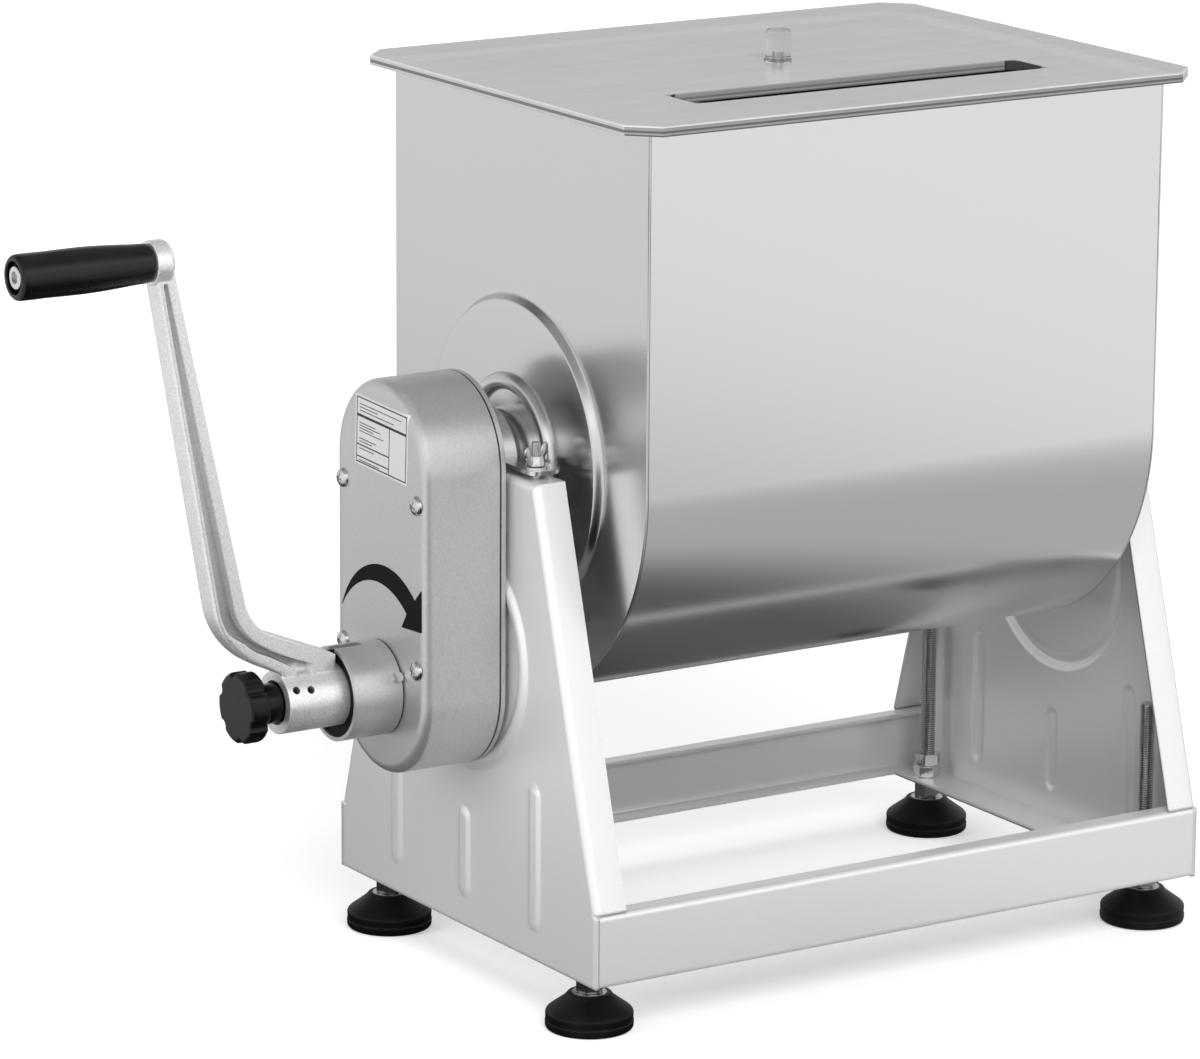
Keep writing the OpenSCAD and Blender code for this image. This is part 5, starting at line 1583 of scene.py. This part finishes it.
    def knob(self) -> None:
        """The lobed knob: a round stem that opens into a head with scalloped notches.

        The radius of a ring is the smaller of the head's radius and the near side of
        the notch circle on the ray of each angle, blended so that the corners between
        them are round, less the inset of the ring.
        """
        segments = 240
        angle = np.arange(segments) * TAU / segments
        step = TAU / self.lobes
        from_notch = (angle - math.radians(self.lobe_turn) + step / 2) % step - step / 2
        inside = self.notch_r ** 2 - (self.notch_at * np.sin(from_notch)) ** 2
        near_side = self.notch_at * np.cos(from_notch) - np.sqrt(np.clip(inside, 0, None))
        notch = np.where(inside > 0, near_side, 30.0)
        blend = self.lobe_blend
        outline = -blend * np.log(np.exp((-self.lobe_r - 0.05) / blend) + np.exp(-notch / blend))
        start, head, end = self.hub_end_x - 3.6, self.head_x, self.head_x + self.head_len
        stem_r = self.knob_stem_r
        plain = [(start, 0.3), (start, stem_r - 0.4), (start + 0.4, stem_r), (head - 1.4, stem_r),
                 (head - 0.4, stem_r + 0.6), (head, stem_r + 1.7)]
        lobed = [(head, 1.6), (head + 0.25, 0.7), (head + 0.8, 0.2), (head + 1.6, 0.0), (end - 1.8, 0.0),
                 (end - 0.9, 0.25), (end - 0.3, 0.8), (end - 0.02, 1.6), (end, 2.4)]
        rows = [(x, np.full(segments, r)) for x, r in plain]
        rows += [(x, outline - inset) for x, inset in lobed]
        rows += [(end, outline * 0.5), (end, outline * 0.02)]
        x = np.array([[place] for place, _ in rows])
        r = np.stack([radius for _, radius in rows])
        shell = Shell("knob_moulding").grid(joined(-x, -r * np.sin(angle), CRANK_Z + r * np.cos(angle)))
        self.settle(shell.mesh_object(), KNOB_PLASTIC, "lobe_knob", "black_plastic", ["lobe_knob"])

    def build(self) -> None:
        """Makes the crank's pieces and dresses those that stay."""
        self.arm()
        self.grip()
        self.spindle()
        self.knob()
        self.dress({"knob_stud": ZINC})


@dataclass
class Paddles(Assembly):
    """The paddle shaft and its four paddles."""

    names: tuple[str, ...] = ("paddle_1", "paddle_2", "paddle_3", "paddle_4")

    def build(self) -> None:
        """Dresses the shaft and the paddles."""
        self.dress({"paddle_shaft": NECK_STEEL, **{name: PADDLE_STEEL for name in self.names}})


@dataclass(frozen=True)
class Lamp:
    """A round soft lamp, with its place and width in metres and its power in watts."""

    name: str
    place: tuple[float, float, float]
    width: float
    power: float


@dataclass(frozen=True)
class MirroredFloor:
    """How bright each place of the floor looks in shiny pieces.

    It stands for the dark cards round a product in a studio. In front of the tank the
    floor starts dark and gets brighter in three steps, which slant with the place along
    the tank. To the left it gets brighter in two steps, and behind the tank in one.
    Between front and left lies a darker wedge. Each step says where it starts, where it
    ends and how much brighter it gets, and those in front first say how much they slant.
    Places count from the tank's faces, in units of 0.535 m along X and 0.844 m along Y.
    """

    front_y: float = -0.12
    back_y: float = 0.12
    left_x: float = -0.155
    unit_x: float = 0.535
    unit_y: float = 0.844
    slant: float = 0.634
    front_level: float = 0.02
    front_steps: tuple[tuple[float, float, float, float], ...] = (
        (1.0, -0.25, 0.0, 0.09), (1.0, 0.03, 0.28, 0.37), (1.3, 0.53, 1.72, 0.43))
    left_level: float = 0.04
    left_steps: tuple[tuple[float, float, float], ...] = ((0.3, 0.9, 0.7), (1.0, 1.8, 0.14))
    back_step: tuple[float, float, float] = (0.35, 1.2, 0.6)
    wedge: float = 0.7

    def level(self, x: Channel, y: Channel) -> Channel:
        """Works out the brightness of a place.

        Args:
            x: Its X.
            y: Its Y.

        Returns:
            The brightness, from 0 to about 1.
        """
        front = (self.front_y - y) / self.unit_y
        left = (self.left_x - x) / self.unit_x
        along = x - (self.front_y - y) * self.slant
        ahead = self.front_level
        for share, start, end, rise in self.front_steps:
            ahead = (front + along * share).fade(start, end) * rise + ahead
        aside = self.left_level
        for start, end, rise in self.left_steps:
            aside = left.fade(start, end) * rise + aside
        start, end, rise = self.back_step
        behind = ((y - self.back_y) / self.unit_y).fade(start, end)
        aside = aside + behind * left.fade(0.4, 0.0) * rise
        is_left = (left - front).above(0.0)
        between = (left + front).above(0.2) * (1 - abs(left - front).fade(0.25, 0.9))
        return (is_left * aside + (1 - is_left) * ahead) * (1 - between * self.wedge)


@dataclass
class Studio:
    """Pale floor, soft lights and the camera of the photograph."""

    azimuth: float = -32.40
    elevation: float = 13.76
    roll: float = 0.35
    distance: float = 3133.45
    target_z: float = 260.0
    aim_right: float = 88.99
    aim_up: float = 46.67
    lens: float = 182.03
    floor_half: float = 9.0
    floor_z: float = -0.2
    floor_level: float = 0.82
    glow: float = 0.36
    far_glow: float = 0.5
    sky_level: float = 0.98
    fill_level: float = 0.4
    lamps: tuple[Lamp, ...] = (
        Lamp("key", (-0.9, -2.9, 2.5), 2.8, 118.0), Lamp("left", (-3.2, 0.2, 1.6), 2.2, 48.0),
        Lamp("top", (0.3, 0.2, 3.4), 2.4, 20.0))
    lamp_aim: tuple[float, float, float] = (0.0, 0.0, 0.26)
    mirrored: MirroredFloor = MirroredFloor()

    def camera(self) -> None:
        """Sets the camera from the angles and distances that the photograph gave."""
        a, e, r = (math.radians(v) for v in (self.azimuth, self.elevation, self.roll))
        back = Vector((math.sin(a) * math.cos(e), -math.cos(a) * math.cos(e), math.sin(e)))
        right = Vector((math.cos(a), math.sin(a), 0.0))
        up = back.cross(right)
        place = Vector((0, 0, self.target_z)) + back * self.distance
        place = place - right * self.aim_right - up * self.aim_up
        turned_right = right * math.cos(r) + up * math.sin(r)
        turned_up = up * math.cos(r) - right * math.sin(r)
        data = bpy.data.cameras.new("camera")
        data.lens = self.lens
        data.sensor_width = 36.0
        data.clip_end = 50.0
        obj = bpy.data.objects.new("camera", data)
        obj.matrix_world = Matrix((turned_right, turned_up, back)).transposed().to_4x4()
        obj.location = place * MM
        bpy.context.scene.collection.objects.link(obj)
        bpy.context.scene.camera = obj

    def floor(self) -> None:
        """Lays a pale floor that shows white to the camera and keeps the shadow.

        To the camera a glow is added to the lit floor, which grows with the distance
        from the middle. Mirrored rays see the tones of the mirrored floor, and all
        others the plain lit floor.
        """
        half = np.array([-self.floor_half, self.floor_half]) / MM
        obj = Shell("floor").sheet(joined(half, half[:, None], self.floor_z)).mesh_object()
        material = bpy.data.materials.new("pale_floor")
        tree = ShaderTree(material)
        seen, glossy = tree.rays()
        x, y, _ = tree.axes(tree.place())
        reach = (x * x + y * y) ** 0.5
        strength = self.glow + reach.fade(0.5, 2.6) * self.far_glow
        diffuse = tree.make("ShaderNodeBsdfDiffuse", None, {"Color": grey(self.floor_level)})
        glow = tree.make("ShaderNodeEmission", None, {"Color": grey(1.0), "Strength": strength})
        shown = tree.make("ShaderNodeAddShader", None, {0: diffuse, 1: glow})
        inputs = {"Color": grey(1.0), "Strength": self.mirrored.level(x, y)}
        mirror = tree.make("ShaderNodeEmission", None, inputs)
        plain = tree.make("ShaderNodeMixShader", None, {0: glossy, 1: diffuse, 2: mirror})
        tree.surface(tree.make("ShaderNodeMixShader", None, {0: seen, 1: plain, 2: shown}))
        obj.data.materials.append(material)

    def world(self) -> None:
        """Gives an even soft light and a white background.

        Mirrored rays see a sky that darkens upwards and towards the back, with a brighter
        patch half way up in front. Other rays get one even level.
        """
        world = bpy.data.worlds.new("studio")
        bpy.context.scene.world = world
        tree = ShaderTree(world)
        seen, glossy = tree.rays()
        _, y, z = tree.axes(tree.make("ShaderNodeTexCoord", output="Generated"))
        patch = z.fade(0.25, 0.45) * z.fade(0.8, 0.6) * y.fade(-0.3, -0.7)
        sky = self.sky_level - z.fade(0.3, 0.85) * 0.62 + patch * 0.5 - y.fade(0.2, 0.7) * 0.3
        level = seen + (1 - seen) * (glossy * sky + (1 - glossy) * self.fill_level)
        tree.surface(tree.make("ShaderNodeBackground", None, {"Color": grey(1.0), "Strength": level}))

    def lights(self) -> None:
        """Hangs the soft lamps, each aimed at the middle of the mixer."""
        for lamp in self.lamps:
            data = bpy.data.lights.new(lamp.name, "AREA")
            data.shape = "DISK"
            data.size = lamp.width
            data.energy = lamp.power
            obj = bpy.data.objects.new(lamp.name, data)
            obj.visible_glossy = False
            obj.location = lamp.place
            aim = Vector(self.lamp_aim) - Vector(lamp.place)
            obj.rotation_mode = "QUATERNION"
            obj.rotation_quaternion = aim.to_track_quat("-Z", "Y")
            bpy.context.scene.collection.objects.link(obj)

    def build(self) -> None:
        """Makes the studio."""
        self.camera()
        self.floor()
        self.world()
        self.lights()
        bpy.context.scene.view_settings.view_transform = "Standard"


def main() -> None:
    """Builds the studio and each sub-assembly."""
    logging.basicConfig(level=logging.INFO, format="%(name)s %(message)s")
    Studio().build()
    for assembly in (Tank(), Lid(), Stand(), Clamps(), Feet(), Gearbox(), Crank(), Paddles()):
        assembly.build()
        LOG.info("%s is done", type(assembly).__name__)


if __name__ == "__main__":
    main()
